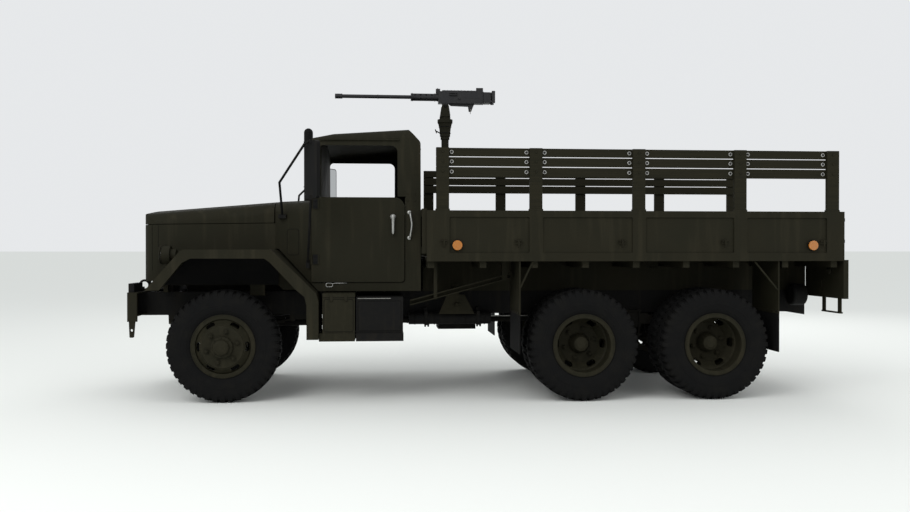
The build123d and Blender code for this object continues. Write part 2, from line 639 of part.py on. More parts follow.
def drivetrain():
    """Engine, gearbox and transfer case as plain blocks, the radiator and the propeller shafts."""
    engine = slab(-470, 420, -215, 215, 800, 1500)
    sump = slab(-120, 400, -150, 150, 742, 802)
    radiator = slab(-640, -570, -400, 400, RAIL_TOP, 1580)
    fan = bar((-500, 0, 1200), (-468, 0, 1200), 230)
    gearbox = slab(420, 1120, -165, 165, 760, 1000)
    transfer = slab(2010, 2390, -170, 170, 590, 880)
    middle = REAR_AXLES["middle"]
    rear = REAR_AXLES["rear"]
    reach = PINION_REACH + 26
    # front station, front height, rear station, rear height
    shafts = (
        (reach, PINION_Z - 38, 2010, 680),
        (1120, 850, 1999, 790),
        (2390, 680, middle - reach, PINION_Z),
        (middle + reach, PINION_Z, rear - reach, PINION_Z),
    )
    mounts = pair(slab(-100, -20, 215, RAIL_Y - RAIL_THICKNESS, 840, 880))
    mounts += pair(slab(900, 960, 165, RAIL_Y - RAIL_THICKNESS, 800, 840))
    mounts += pair(slab(2160, 2240, 170, RAIL_Y - RAIL_THICKNESS, 820, 860))
    pieces = [engine, sump, radiator, fan, gearbox, transfer] + mounts
    for front, front_z, back, back_z in shafts:
        pieces.append(bar((front + 0.5, 0, front_z), (back + 3, 0, back_z), 33))
    whole = pieces[0].fuse(*pieces[1:])
    for station in REAR_AXLES.values():
        whole = solids_of(whole).cut(slab(station - reach, station + reach, -90, 90, 500, 800))
    export("drivetrain", [solids_of(whole).cut(slab(-200, reach, -90, 90, 500, 740))])


def fender_inside(inset):
    """The fender's outline moved in by an inset, from the front tip to the foot."""
    slope_in = inset * 1.32
    knee_in = inset * 1.06
    return ((-646 + slope_in, 1034, 0), (-330 + inset * 0.52, FENDER_TOP - inset, 70),
            (452 - inset * 0.42, FENDER_TOP - inset, 40), (850 - knee_in, 1006 - inset * 0.42, 40),
            (872 - inset, 930 - inset * 0.2, 30), (872 - inset, 587, 0))


def front_fenders():
    """Angular fenders: a bent sheet over the wheel, a lip on its outer edge and the inner apron."""
    inner = list(fender_inside(FENDER_SHEET))
    sheet = side_plate(list(FENDER_OUTER) + inner[::-1], APRON_Y, FENDER_Y)
    lip = side_plate(list(FENDER_OUTER) + list(FENDER_LIP)[::-1], FENDER_Y - FENDER_SHEET, FENDER_Y)
    top = FENDER_TOP - 2
    apron = side_plate([(-600, 1062), (460, 1062), (460, top), (-330, top), (-600, 1084)],
                       APRON_Y, APRON_Y + FENDER_SHEET)
    notch = slab(860 - 140, 900, APRON_Y - 1, 640, 500, 1100)
    body = sheet.fuse(lip, apron).cut(notch)
    bracket = slab(190, 330, RAIL_Y, APRON_Y + 2, 960, 972)
    upright = slab(190, 330, APRON_Y - 10, APRON_Y + 2, 960, 1100)
    export("front_fenders", pair(body.fuse(bracket, upright)))


def fender_slope(station):
    """Height of the fender's sloping front at a station."""
    (low_station, low_z, _), (high_station, high_z, _) = FENDER_OUTER[:2]
    return low_z + (station - low_station) * (high_z - low_z) / (high_station - low_station)


def crowned_corners(half, crown, low):
    """Hood or cowl section: upright sides, rounded shoulders and a gentle crown."""
    shoulder = (crown - HOOD_SHOULDER_DROP, HOOD_SHOULDER_RADIUS)
    return [(-half, low), (half, low), (half, *shoulder), (0, crown, HOOD_CROWN_RADIUS), (-half, *shoulder)]


def hood_form(inset, rear=HOOD_REAR):
    """Outer form of the hood and nose: a crowned section that rises rearwards, rounded in front."""
    half = HOOD_HALF - inset
    front = NOSE_FRONT + inset
    body = rising_section(crowned_corners(half, HOOD_CROWN_FRONT - inset, 850), front, rear, HOOD_RISE)
    nose = [(front, 1000), (front, NOSE_TOP - inset, NOSE_ROUND), (front + 150, NOSE_TOP + 64 - inset, 60)]
    side = side_plate(nose + [(rear, 1960), (rear, 1000)], -HOOD_HALF - 10, HOOD_HALF + 10)
    corner = NOSE_CORNER - inset
    tip = front - NOSE_TIP
    plan = [(tip, -half, corner), (tip, half, corner), (rear, half), (rear, -half)]
    plan = floor_plate(plan, 900, 2000)
    return solids_of(solids_of(body.intersect(side)).intersect(plan))


def crease_block(above, shift):
    """Everything above or below the crease line between the hood and its sides."""
    front, rear = NOSE_FRONT - 50, HOOD_REAR + 60
    far = 2200 if above else 900
    front_z, rear_z = CREASE_FRONT_Z + shift, CREASE_REAR_Z + shift
    return side_plate([(front, front_z), (rear, rear_z), (rear, far), (front, far)],
                      -HOOD_HALF - 20, HOOD_HALF + 20)


def solids_of(shape):
    """A boolean result as one shape."""
    if isinstance(shape, ShapeList):
        return shape[0].fuse(*shape[1:]) if len(shape) > 1 else shape[0]
    return shape


def hood():
    """Hood lid: a crowned sheet with a rounded nose, hinged at its rear edge."""
    outer = solids_of(hood_form(0))
    inner = solids_of(hood_form(HOOD_SHEET))
    shell = outer.cut(inner)
    lid = solids_of(solids_of(shell).intersect(crease_block(True, 3)))
    rib = slab(-560, 330, -30, 30, 1700, 1900).intersect(solids_of(hood_form(HOOD_SHEET - 5)))
    rib = solids_of(rib).cut(solids_of(hood_form(HOOD_SHEET + 16)))
    barrels = [cross_cylinder(HOOD_HINGE_STATION, y, y + 70, HOOD_HINGE_Z, HINGE_BARREL)
               for y in (-120, 50)]
    export("hood", [lid, solids_of(rib)] + barrels)


def hood_sides():
    """Fixed nose and side panels under the crease, the radiator's baffle and the nose's legs."""
    outer = solids_of(hood_form(0, COWL_FRONT))
    inner = solids_of(hood_form(HOOD_SHEET, COWL_FRONT + 1))
    shell = solids_of(outer.cut(inner))
    lower = solids_of(shell.intersect(crease_block(False, -3)))
    keep = side_plate([(NOSE_FRONT - 10, 1100), (-588, fender_slope(-588)), (-330, FENDER_TOP),
                       (COWL_FRONT, FENDER_TOP), (COWL_FRONT, 1700), (NOSE_FRONT - 10, 1700)], -700, 700)
    lower = solids_of(lower.intersect(keep))
    lower = lower.cut(slab(NOSE_FRONT - 20, NOSE_FRONT + 60, -400, 400, 1170, 1590))
    baffle = slab(-640, -632, -606, 606, 1100, 1600)
    baffle = baffle.cut(slab(-660, -600, -400, 400, 1000, 1580))
    legs = pair(slab(-640, -600, 450, 490, RAIL_TOP, 1102))
    feet = pair(slab(-640, -600, 400, 490, RAIL_TOP, 1002))
    export("hood_sides", [lower, baffle] + legs + feet)


def cowl_form(inset):
    """Crowned cowl that widens from the hood's section to the windscreen's foot, and room behind it."""
    front = COWL_FRONT - 10
    sections = []
    ends = ((front, HOOD_HALF, COWL_CROWN), (WINDSCREEN_STATION, CAB_HALF, COWL_CROWN + 10))
    for station, half, crown in ends:
        rounded = [(*corner, 0)[:3] for corner in crowned_corners(half - inset, crown - inset, 900)]
        sections.append(rounded_face(rounded, lambda p, x=at(station): Vector(x, p.X, p.Y)))
    behind = slab(WINDSCREEN_STATION, CAB_REAR + 20, -1000, 1000, 900, 2000)
    return solids_of(loft(sections, ruled=True).fuse(behind))


def cab_form(inset):
    """Outer form of the lower cab, as wide as the doors behind the cowl's taper."""
    half = CAB_HALF - inset
    front = COWL_FRONT + inset
    rear = CAB_REAR - inset
    low = CAB_BOTTOM + inset
    top = CAB_BELT + inset
    high = 1950
    plan = floor_plate([(front, HOOD_HALF - inset), (CAB_FRONT, half), (rear, half), (rear, -half),
                        (CAB_FRONT, -half), (front, -HOOD_HALF + inset)], 900, 2000)
    slope = inset * 1.4
    upper = [(rear, low), (rear, top), (WINDSCREEN_STATION, top), (WINDSCREEN_STATION, high), (front, high)]
    side = side_plate(upper + [(front, 1404 + inset), (466 + slope, 1404), (858 + slope, low)], -1000, 1000)
    centre = side_plate(upper + [(front, 1080 + inset), (front + 40, low + 30), (front + 70, low)],
                        -APRON_Y + 4 + inset, APRON_Y - 4 - inset)
    wide = solids_of(plan.intersect(side))
    whole = solids_of(wide.fuse(solids_of(plan.intersect(centre))))
    return solids_of(whole.intersect(cowl_form(inset)))


def door_corners(gap):
    """Side view of the half door, with its rounded rear top corner."""
    return [(DOOR_FRONT - gap, DOOR_BOTTOM - gap), (DOOR_REAR + gap, DOOR_BOTTOM - gap, 30),
            (DOOR_REAR + gap, CAB_BELT + gap, 90), (DOOR_FRONT - gap, CAB_BELT + gap)]


def cab_tub():
    """Lower cab: floor, firewall, cowl, rear wall and sills, with the door openings cut."""
    shell = solids_of(cab_form(0).cut(cab_form(CAB_WALL)))
    for side in SIDES.values():
        low_y, high_y = sorted((side * (CAB_HALF - CAB_WALL - 20), side * (CAB_HALF + 20)))
        front, rear, sill = DOOR_FRONT - DOOR_GAP, DOOR_REAR + DOOR_GAP, DOOR_BOTTOM - DOOR_GAP
        opening = [(front, sill), (rear, sill, 30), (rear, CAB_BELT + 60), (front, CAB_BELT + 60)]
        shell = solids_of(shell.cut(side_plate(opening, low_y, high_y)))
    floor = CAB_BOTTOM + CAB_WALL
    # seat boxes: front station, rear station, low y, high y, height
    for front, rear, low_y, high_y, top in ((1270, 1680, 200, 660, 1290), (1270, 1680, -830, -60, 1290)):
        box = slab(front, rear, low_y, high_y, floor - 2, top)
        shell = shell.fuse(box)
    shell = solids_of(shell)
    export("cab_tub", [shell])


def windscreen_frame():
    """Upright frame round two panes."""
    front, rear = WINDSCREEN_STATION, WINDSCREEN_STATION + 42
    top = (WINDSCREEN_TOP, 50)
    frame = cross_plate([(-868, CAB_BELT), (868, CAB_BELT), (852, *top), (-852, *top)], front, rear)
    for side in SIDES.values():
        low_y, high_y = sorted((side * 28, side * 812))
        frame = frame.cut(slab(front - 5, rear + 5, low_y, high_y, 1935, 2350))
    export("windscreen_frame", [frame])


def roof_section(corner_z, inset):
    """Hard roof seen from the front: leaning sides, rounded shoulders and a crown."""
    half = CAB_HALF + 2 - inset
    shoulder = (half - 39, corner_z - inset, 90)
    return [(-half, 1770), (half, 1770), shoulder, (0, corner_z + ROOF_CROWN - inset, 2200),
            (-shoulder[0], *shoulder[1:])]


def hardtop_form(inset):
    """Hard roof's form: a crowned section rising rearwards, a steeper visor and a sloped rear edge."""
    front, rear = WINDSCREEN_STATION + 42 + inset, CAB_REAR - inset
    low = CAB_BELT - inset
    roof = rising_section(roof_section(ROOF_CORNER_Z, inset), ROOF_FRONT, 1900, ROOF_RISE)
    visor = rising_section(roof_section(VISOR_CORNER_Z, inset), ROOF_FRONT, 1900, VISOR_RISE)
    if inset == 0:
        brow = [(front, WINDSCREEN_TOP), (ROOF_FRONT, WINDSCREEN_TOP), (ROOF_FRONT, 2700)]
    else:
        brow = [(front, 2700)]
    back = [(1500, 2700), (1620 - inset, 2600 - inset), (rear, 2400 - inset, 60), (rear, low)]
    side = side_plate([(front, low)] + brow + back, -1000, 1000)
    return solids_of(solids_of(roof.intersect(visor)).intersect(side))


def hardtop():
    """Hard roof with its side window openings and rear window."""
    shell = solids_of(hardtop_form(0).cut(hardtop_form(ROOF_SHEET)))
    for side in SIDES.values():
        low_y, high_y = sorted((side * 700, side * 950))
        window = side_plate([(WINDOW_FRONT, 1800), (WINDOW_REAR, 1800), (WINDOW_REAR, WINDOW_TOP, 60),
                             (WINDOW_FRONT, WINDOW_TOP, 40)], low_y, high_y)
        shell = shell.cut(window, slab(780, DOOR_REAR + 9, low_y, high_y, 1800, CAB_BELT + 8))
    rear_window = cross_plate([(-330, 1960, 50), (330, 1960, 50), (330, 2290, 50), (-330, 2290, 50)],
                              CAB_REAR - 60, CAB_REAR + 20)
    export("hardtop", [solids_of(shell.cut(rear_window))])


def cab_glass():
    """Two windscreen panes and the rear window's pane."""
    panes = []
    for side in SIDES.values():
        low_y, high_y = sorted((side * 28, side * 812))
        panes.append(slab(818, 824, low_y, high_y, 1935, 2350))
    rear = cross_plate([(-330, 1960, 50), (330, 1960, 50), (330, 2290, 50), (-330, 2290, 50)], 1784, 1790)
    export("cab_glass", panes + [rear])


def dashboard():
    """Instrument panel under the cowl, with the steering column and wheel."""
    panel = slab(842, 900, -868, 868, 1560, 1800)
    link = slab(770, 842, -600, 600, 1770, 1880)
    link = link.cut(slab(800, 860, -620, 620, 1800, 1900))
    centre = (at(1130), DRIVER_Y, 1705)
    tilt = Rot(0, -32, 0)
    pieces = [panel, link, Pos(*centre) * tilt * Torus(212, 13), Pos(*centre) * tilt * Cylinder(38, 40)]
    for index in range(3):
        pieces.append(Pos(*centre) * tilt * Rot(0, 0, 120 * index + 90) * Pos(108, 0, 0) * Box(212, 20, 10))
    pieces.append(bar((1130, DRIVER_Y, 1700), (700, DRIVER_Y, 1012), 22))
    space = solids_of(cab_form(CAB_WALL))
    joined = pieces[0].fuse(*pieces[1:])
    inside = joined.intersect(space)
    export("dashboard", [solids_of(inside)])


def seats():
    """Driver's seat and companion bench: cushions on the seat boxes, with leaning backs."""
    pieces = []
    for low_y, high_y in ((200, 660), (-830, -60)):
        cushion = slab(1250, 1640, low_y, high_y, 1290, 1400)
        back = side_plate([(1640, 1400), (1560, 1400), (1640, 1850, 30), (1720, 1850, 30), (1700, 1400)],
                          low_y, high_y)
        pieces.append(fillet(cushion.edges().filter_by(Axis.Z), 40).fuse(back))
    export("seats", pieces)


def doors():
    """Half doors: one thick panel each, with raised hinge blocks and lever handle."""
    for name, side in SIDES.items():
        low_y, high_y = CAB_HALF - CAB_WALL, CAB_HALF + 15
        panel = side_plate(door_corners(0), low_y, high_y)
        front, rear = DOOR_FRONT + 90, DOOR_REAR - 80
        pocket = side_plate([(front, 1190, 40), (rear, 1190, 40), (rear, 1780, 60), (front, 1780, 60)],
                            low_y - 1, low_y + 18)
        panel = panel.cut(pocket)
        straps = [slab(DOOR_FRONT + 16, DOOR_FRONT + 70, high_y - 2, high_y + 10, z, z + 88)
                  for z in DOOR_HINGES]
        straps += [Pos(at(DOOR_FRONT), high_y, z + 44) * Cylinder(DOOR_PIN, 88) for z in DOOR_HINGES]
        handle = slab(1526, 1558, high_y - 2, high_y + 34, 1690, 1722)
        lever = slab(1530, 1554, high_y + 22, high_y + 34, 1530, 1722)
        door = panel.fuse(*straps, handle, lever)
        export(f"door_{name}", [door if side > 0 else mirrored(door)])


def mirror_place(side):
    """Where a mirror's shell stands, turned a little towards the driver."""
    return Pos(at(MIRROR_STATION), side * MIRROR_Y, MIRROR_Z) * Rot(0, 0, side * MIRROR_TURN)


def mirrors():
    """Mirror shells on arms from the cowl and the door pillar, and the reflecting faces set in them."""
    shells = []
    faces = []
    cab = solids_of(cab_form(0))
    for side in SIDES.values():
        place = mirror_place(side)
        box = place * fillet(Box(34, 200, 504).edges().filter_by(Axis.X), 34)
        hollow = place * Pos(-14, 0, 0) * fillet(Box(8, 184, 488).edges().filter_by(Axis.X), 28)
        faces.append(place * Pos(-13.5, 0, 0) * fillet(Box(7, 184, 488).edges().filter_by(Axis.X), 28))
        top = (MIRROR_STATION - 12, side * MIRROR_Y, MIRROR_Z + 258)
        bottom = (MIRROR_STATION - 12, side * MIRROR_Y, MIRROR_Z - 256)
        root = (508, side * 716, 1712)
        elbow = (508, side * 960, 2008)
        shoulder = (MIRROR_STATION - 66, side * MIRROR_Y, 2318)
        pillar = (758, side * 890, 1264)
        spans = ((root, elbow), (elbow, shoulder), (shoulder, top), (pillar, bottom))
        arms = [bar(start, end, 11) for start, end in spans]
        low_y, high_y = sorted((side * 640, side * 735))
        base = slab(470, 542, low_y, high_y, 1690, 1726)
        shell = box.fuse(*arms, base)
        shells.append(solids_of(solids_of(shell.cut(hollow)).cut(cab)))
    export("mirrors", shells)
    export("mirror_glass", faces)


def lamps():
    """Headlamps on the fenders' slopes, tail lamps on the tail plates, and their lenses."""
    housings = []
    lenses = []
    for side in SIDES.values():
        y = side * 780
        housings.append(bar((-575, y, 1346), (-500, y, 1346), 86))
        housings.append(bar((-505, y, 1346), (-450, y, 1346), 56))
        front, rear = -545.0, -505.0
        bracket = side_plate([(front, 1300), (front, fender_slope(front)), (rear, fender_slope(rear)),
                              (rear, 1300)], 760, 800)
        housings.append(bracket if side > 0 else mirrored(bracket))
        lenses.append(bar((-590, y, 1346), (-575, y, 1346), 78))
        tail = BED_REAR + TAIL_SHEET
        housings.append(slab(tail, tail + 52, *sorted((side * 880, side * 1040)), 1150, 1230))
        lenses.append(slab(tail + 52, tail + 60, *sorted((side * 895, side * 1025)), 1162, 1218))
    export("lamps", housings)
    export("lamp_lenses", lenses)


def marker_lamps():
    """Amber side markers on the bed's sides."""
    pieces = []
    for station in (2114, 5431):
        for side in SIDES.values():
            pieces.append(cross_cylinder(station, side * BED_HALF, side * (BED_HALF + 22), 1435, 44))
    export("marker_lamps", pieces)


def side_boxes():
    """Tool box, battery box and steps on the left; the fuel tank and steps on the right."""
    green = pair(slab(905, 1195, 480, 1110, 640, 1000)) + pair(slab(874, 1195, 560, 1118, 568, 640))
    black = [slab(1205, 1630, 470, 1090, 640, 965), slab(1205, 1634, 560, 1118, 568, 640)]
    tank = side_plate([(1250, 600, 90), (1860, 600, 90), (1860, 965, 90), (1250, 965, 90)], -1080, -500)
    return green, black + [tank]


def running_boxes():
    """Boxes hung from the left and right rails."""
    green, black = side_boxes()
    hangers = []
    for front, rear in ((960, 1010), (1100, 1150)):
        hangers += pair(slab(front, rear, RAIL_Y, 482, 790, 960))
    export("tool_boxes", green + hangers)
    straps = pair(slab(1300, 1350, RAIL_Y, 502, 790, 960)) + pair(slab(1520, 1570, RAIL_Y, 502, 790, 960))
    air_tanks = [bar((1700, 505, 730), (2500, 505, 730), 62)]
    bands = [slab(s, s + 30, 438, 572, 663, 797) for s in (1850, 2360)]
    saddles = [slab(s, s + 30, RAIL_Y, 500, 770, 830) for s in (1850, 2360)]
    can = fillet(bar((5500, 600, 950), (5650, 600, 950), 108).edges(), 26)
    can_bracket = slab(5560, 5600, RAIL_Y, 520, 930, 970)
    export("chassis_tanks", black + straps + air_tanks + bands + saddles + [can, can_bracket])


def spare_carrier():
    """Empty spare-wheel carrier: an inclined channel on two hangers, with the clamp plate."""
    channel = side_plate([(1700, 878), (2650, 1128), (2650, 1178), (1700, 928)], 860, 930)
    pocket = side_plate([(1690, 884), (2660, 1138), (2660, 1170), (1690, 916)], 870, 931)
    front_hanger = slab(1920, 1952, 870, 925, 936, FLOOR_BOTTOM)
    rear_hanger = slab(2560, 2610, 870, 925, 1115, FLOOR_BOTTOM)
    plate = side_plate([(1985, 776), (2330, 776), (2235, 962), (2065, 962)], 620, 640)
    arm = slab(2120, 2180, 620, 640, 940, 1060)
    tie = slab(2120, 2180, 445, 870, 1010, 1040)
    bolt = cross_cylinder(2155, 560, 700, 868, 14)
    export("spare_carrier", [channel.cut(pocket), front_hanger, rear_hanger, plate, arm, tie, bolt])


def exhaust():
    """Right-hand stack with its domed top, strap bracket and the elbow into the cowl."""
    radius = 50.0
    stack = bar((STACK_STATION, STACK_Y, 1560), (STACK_STATION, STACK_Y, STACK_TOP - radius), radius)
    dome = Pos(at(STACK_STATION), STACK_Y, STACK_TOP - radius) * Sphere(radius)
    elbow = tube_along([(STACK_STATION, STACK_Y, 1580), (STACK_STATION, STACK_Y, 1470),
                        (STACK_STATION, STACK_Y + 130, 1470)], 40, 55)
    bracket = slab(STACK_STATION - 14, STACK_STATION + 14, STACK_Y, STACK_Y + 130, 1780, 1810)
    fixed = stack.fuse(dome, elbow, bracket)
    export("exhaust", [solids_of(fixed.cut(solids_of(cab_form(0))))])


def bed_floor():
    """Bed floor on cross sills and two deep long sills over the rails."""
    floor = slab(BED_FRONT, BED_REAR, -BED_HALF + BED_SIDE, BED_HALF - BED_SIDE, FLOOR_BOTTOM, BED_FLOOR_Z)
    pieces = [floor]
    section = [(445, RAIL_TOP), (445, 1300), (365, 1300), (365, 1290), (435, 1290), (435, 1000),
               (365, 1000), (365, RAIL_TOP)]
    long_sill = cross_plate(section, BED_FRONT, RAIL_REAR)
    pieces += pair(long_sill)
    count = 9
    pitch = (BED_REAR - BED_FRONT - 120) / (count - 1)
    for index in range(count):
        front = BED_FRONT + 10 + index * pitch
        pieces += pair(slab(front, front + 60, 444, BED_HALF - BED_SIDE, 1230, FLOOR_BOTTOM + 1))
        pieces.append(slab(front, front + 60, -436, 436, 1230, FLOOR_BOTTOM + 1))
    export("bed_floor", pieces)


def side_panels():
    """Front and rear stations of the pressed panels between neighbouring stake pockets."""
    half = STAKE_WIDTH / 2 + 4
    edges = [BED_FRONT - half + 30] + list(STAKE_STATIONS) + [BED_REAR + half - 30]
    spans = [(first + half, second - half) for first, second in zip(edges[:-1], edges[1:])]
    return [(front, rear) for front, rear in spans if rear - front > 100]


def stakes(low_z):
    """The left rack's posts, which stand in the pockets of the bed's side."""
    half = STAKE_WIDTH / 2
    return [slab(station - half, station + half, POST_INNER, POST_OUTER, low_z, RACK_TOP)
            for station in STAKE_STATIONS]


def bed_sides():
    """Both sides with pressed panels, stake pockets and rope hooks, and the front panel."""
    inner = BED_HALF - BED_SIDE
    wall = slab(BED_FRONT, BED_REAR, inner, BED_HALF, SIDE_BOTTOM, BED_TOP)
    for front, rear in side_panels():
        panel = [(front, 1365, 12), (rear, 1365, 12), (rear, 1690, 12), (front, 1690, 12)]
        wall = wall.cut(side_plate(panel, BED_HALF - 14, BED_HALF + 1))
        wall = wall.cut(side_plate(panel, inner - 1, inner + 14))
    wall = solids_of(wall.cut(*stakes(POCKET_BOTTOM)))
    hooks = [slab(station - 28, station + 28, POST_OUTER, BED_HALF + 6, 1446, 1484)
             for station in ROPE_HOOKS]
    front = slab(BED_FRONT - 40, BED_FRONT, -BED_HALF + 20, BED_HALF - 20, 1360, 1765)
    front = front.cut(cross_plate([(-1100, 1420, 20), (1100, 1420, 20), (1100, 1700, 20), (-1100, 1700, 20)],
                                  BED_FRONT - 41, BED_FRONT - 22))
    export("bed_sides", pair(wall.fuse(*hooks)) + [front])


def stake_racks():
    """Wooden racks on both sides: posts in the side's pockets and three long slats inside them."""
    posts = stakes(POCKET_BOTTOM)
    first = STAKE_STATIONS[0] - STAKE_WIDTH / 2
    last = STAKE_STATIONS[-1] + STAKE_WIDTH / 2
    slats = [slab(first, last, POST_INNER - SLAT, POST_INNER, low, high) for low, high in RACK_SLATS]
    export("stake_racks", pair(posts[0].fuse(*posts[1:], *slats)))


def tailgate():
    """Tailgate hinged along its lower edge, pressed panels inside a frame."""
    front, rear = BED_REAR + 6, GATE_REAR
    gate = slab(front, rear, -1150, 1150, GATE_BOTTOM, BED_TOP)
    for low_y, high_y in ((-1090, -400), (-360, 360), (400, 1090)):
        panel = cross_plate([(low_y, 1390, 16), (high_y, 1390, 16), (high_y, 1680, 16), (low_y, 1680, 16)],
                            rear - 10, rear + 1)
        gate = gate.cut(panel)
    barrels = [cross_cylinder(rear, y, y + 90, GATE_BOTTOM, HINGE_BARREL) for y in (-1050, -300, 210, 960)]
    export("tailgate", [gate] + barrels)


def mud_guards():
    """Steel mud-guard plates, the tail plates with their steps, and the rubber flaps."""
    plates = []
    flaps = []
    for side in SIDES.values():
        for front, rear, low_y, high_y, low_z, high_z in TAIL_PLATE:
            plates.append(slab(front, rear, *sorted((side * low_y, side * high_y)), low_z, high_z))
        for (front, high), (rear, low) in MUD_BRACES:
            plates.append(bar((front, side * BRACE_Y, high), (rear, side * BRACE_Y, low), BRACE_RADIUS))
        for station in MUD_GUARDS:
            low_y, high_y = sorted((side * 620, side * 1195))
            plates.append(slab(station - 6, station + 6, low_y, high_y, 800, SIDE_BOTTOM))
            flaps.append(slab(station - 5, station + 5, low_y, high_y, 444, 800))
    export("guard_plates", plates)
    export("mud_flaps", flaps)


def gun_pedestal():
    """Tall post on the bed floor with its foot plate, gussets and socket ring."""
    foot = Pos(at(GUN_STATION), 0, BED_FLOOR_Z + 6) * Cylinder(210, 12)
    post = Pos(at(GUN_STATION), 0, (BED_FLOOR_Z + 2560) / 2) * Cylinder(38, 2560 - BED_FLOOR_Z)
    ring = Pos(at(GUN_STATION), 0, 2548) * Cylinder(46, 28)
    pieces = [foot, post, ring]
    for index in range(4):
        fin = side_plate([(GUN_STATION + 34, BED_FLOOR_Z + 6), (GUN_STATION + 180, BED_FLOOR_Z + 6),
                          (GUN_STATION + 34, BED_FLOOR_Z + 190)], -6, 6)
        pieces.append(fin.rotate(Axis((at(GUN_STATION), 0, 0), (0, 0, 1)), 90 * index + 45))
    export("gun_pedestal", pieces)


def gun_pintle():
    """Tapered socket that turns on the post, with the cradle's fork."""
    profile = [(0, 2563), (52, 2563), (58, 2640), (70, 2696), (78, 2706), (78, 2740), (56, 2746), (56, 2768),
               (0, 2768)]
    points = [(at(GUN_STATION) + r, 0, z) for r, z in profile]
    upright = Axis((at(GUN_STATION), 0, 0), (0, 0, 1))
    socket = revolve(Face(Wire.make_polygon(points, close=True)), axis=upright, revolution_arc=360)
    yoke = slab(GUN_STATION - 50, GUN_STATION + 50, -62, 62, 2766, 2790)
    cheeks = [side_plate([(GUN_STATION - 50, 2780), (GUN_STATION + 50, 2780), (GUN_STATION + 34, 2890, 20),
                          (GUN_STATION - 34, 2890, 20)], low_y, low_y + 14) for low_y in (-62, 48)]
    export("gun_pintle", [socket, yoke] + cheeks)


def gun():
    """Machine gun as an outward form only: receiver, perforated jacket, plain barrel and spade grips."""
    receiver = slab(2020, 2490, -40, 40, 2905, 3030)
    cover = slab(2060, 2470, -34, 34, 3028, 3040)
    sight = slab(2415, 2485, -16, 16, 3036, 3072)
    front_post = slab(1996, 2040, -12, 12, 2990, 3058)
    bracket = side_plate([(2120, 2907), (2395, 2907), (2385, 2884), (2362, 2826, 4), (2338, 2826, 4),
                          (2330, 2878), (2150, 2884)], -12, 12)
    jacket = bar((1737, 0, GUN_AXIS_Z), (2025, 0, GUN_AXIS_Z), 38)
    barrel = bar((1010, 0, GUN_AXIS_Z), (1745, 0, GUN_AXIS_Z), 19)
    booster = bar((962, 0, GUN_AXIS_Z), (1030, 0, GUN_AXIS_Z), 25)
    for index in range(4):
        station = 1780 + index * 58
        for turn in (0, 60, 120):
            hole = Pos(at(station), 0, GUN_AXIS_Z) * Rot(turn, 0, 0) * Cylinder(9, 100)
            jacket = jacket.cut(hole)
    trunnion = cross_cylinder(GUN_STATION, -47.5, 47.5, 2872, 16)
    lug = slab(GUN_STATION - 30, GUN_STATION + 30, -36, 36, 2856, 2910)
    back = slab(2488, 2556, -56, 56, 2912, 3022)
    grips = [bar((2588, y, 2912), (2588, y, 3034), 18) for y in (-60, 60)]
    arms = [bar((2540, y * 0.8, z), (2588, y, z), 11) for y in (-60, 60) for z in (2926, 3010)]
    body = [receiver, cover, sight, front_post, bracket, jacket, barrel, booster, trunnion, lug, back]
    export("gun", body + grips + arms)


def main():
    os.makedirs("parts", exist_ok=True)
    chassis_frame()
    front_bumper()
    grille_guard()
    tow_fittings()
    suspension_pieces = suspension()
    export("suspension", suspension_pieces)
    axles()
    drivetrain()
    front_fenders()
    hood()
    hood_sides()
    cab_tub()
    windscreen_frame()
    hardtop()
    cab_glass()
    dashboard()
    seats()
    doors()
    mirrors()
    lamps()
    marker_lamps()
    running_boxes()
    spare_carrier()
    exhaust()
    bed_floor()
    bed_sides()
    stake_racks()
    tailgate()
    mud_guards()
    gun_pedestal()
    gun_pintle()
    gun()
    knuckles()
    tie_rod()
    front_wheels()
    rear_wheels()


main()
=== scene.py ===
"""Six-wheel-drive military cargo truck: its finishes, tyres, fittings and stitching, built round the CAD frame.

Lengths are metres in the frame's own axes: +X forward, +Y the truck's left, +Z up, ground at zero.
A station is a distance rearwards of the front axle.
"""
import json

import bpy
import numpy as np
from mathutils import Matrix


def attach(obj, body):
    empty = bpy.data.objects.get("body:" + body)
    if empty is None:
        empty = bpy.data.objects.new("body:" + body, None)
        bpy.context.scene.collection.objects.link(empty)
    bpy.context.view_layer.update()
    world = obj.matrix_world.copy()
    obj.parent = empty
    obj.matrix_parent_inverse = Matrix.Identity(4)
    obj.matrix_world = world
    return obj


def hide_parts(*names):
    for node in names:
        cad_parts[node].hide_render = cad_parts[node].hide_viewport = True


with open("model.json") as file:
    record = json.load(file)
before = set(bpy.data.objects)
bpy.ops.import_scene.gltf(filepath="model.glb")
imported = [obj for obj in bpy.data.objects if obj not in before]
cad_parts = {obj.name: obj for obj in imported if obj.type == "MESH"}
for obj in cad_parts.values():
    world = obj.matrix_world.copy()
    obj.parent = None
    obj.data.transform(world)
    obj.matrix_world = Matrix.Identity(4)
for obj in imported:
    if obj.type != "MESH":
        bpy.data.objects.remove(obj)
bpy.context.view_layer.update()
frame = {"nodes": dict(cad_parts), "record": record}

APRON_OUTER = 0.6085
APRON_TOP = 1.378
FRONT_AXLE_X = 2.480
WHEEL_STATIONS = {"front": 0.0, "middle": 3.292, "rear": 4.532}
SIDES = {"left": 1.0, "right": -1.0}
LEFT, AHEAD, BEHIND, UP, DOWN = (0, 1, 0), (1, 0, 0), (-1, 0, 0), (0, 0, 1), (0, 0, -1)
AXLE_Z = 0.515
STAKE_STATIONS = (1.9835, 2.8318, 3.7853, 4.7408, 5.6311)
SLAT_HEIGHTS = ((2.057, 2.142), (2.151, 2.231), (2.240, 2.315))
ROPE_HOOKS = (1.995, 2.670, 3.625, 4.590, 5.533)
BED_HALF = 1.215
FLAP_STATIONS = (2.686, 5.116)
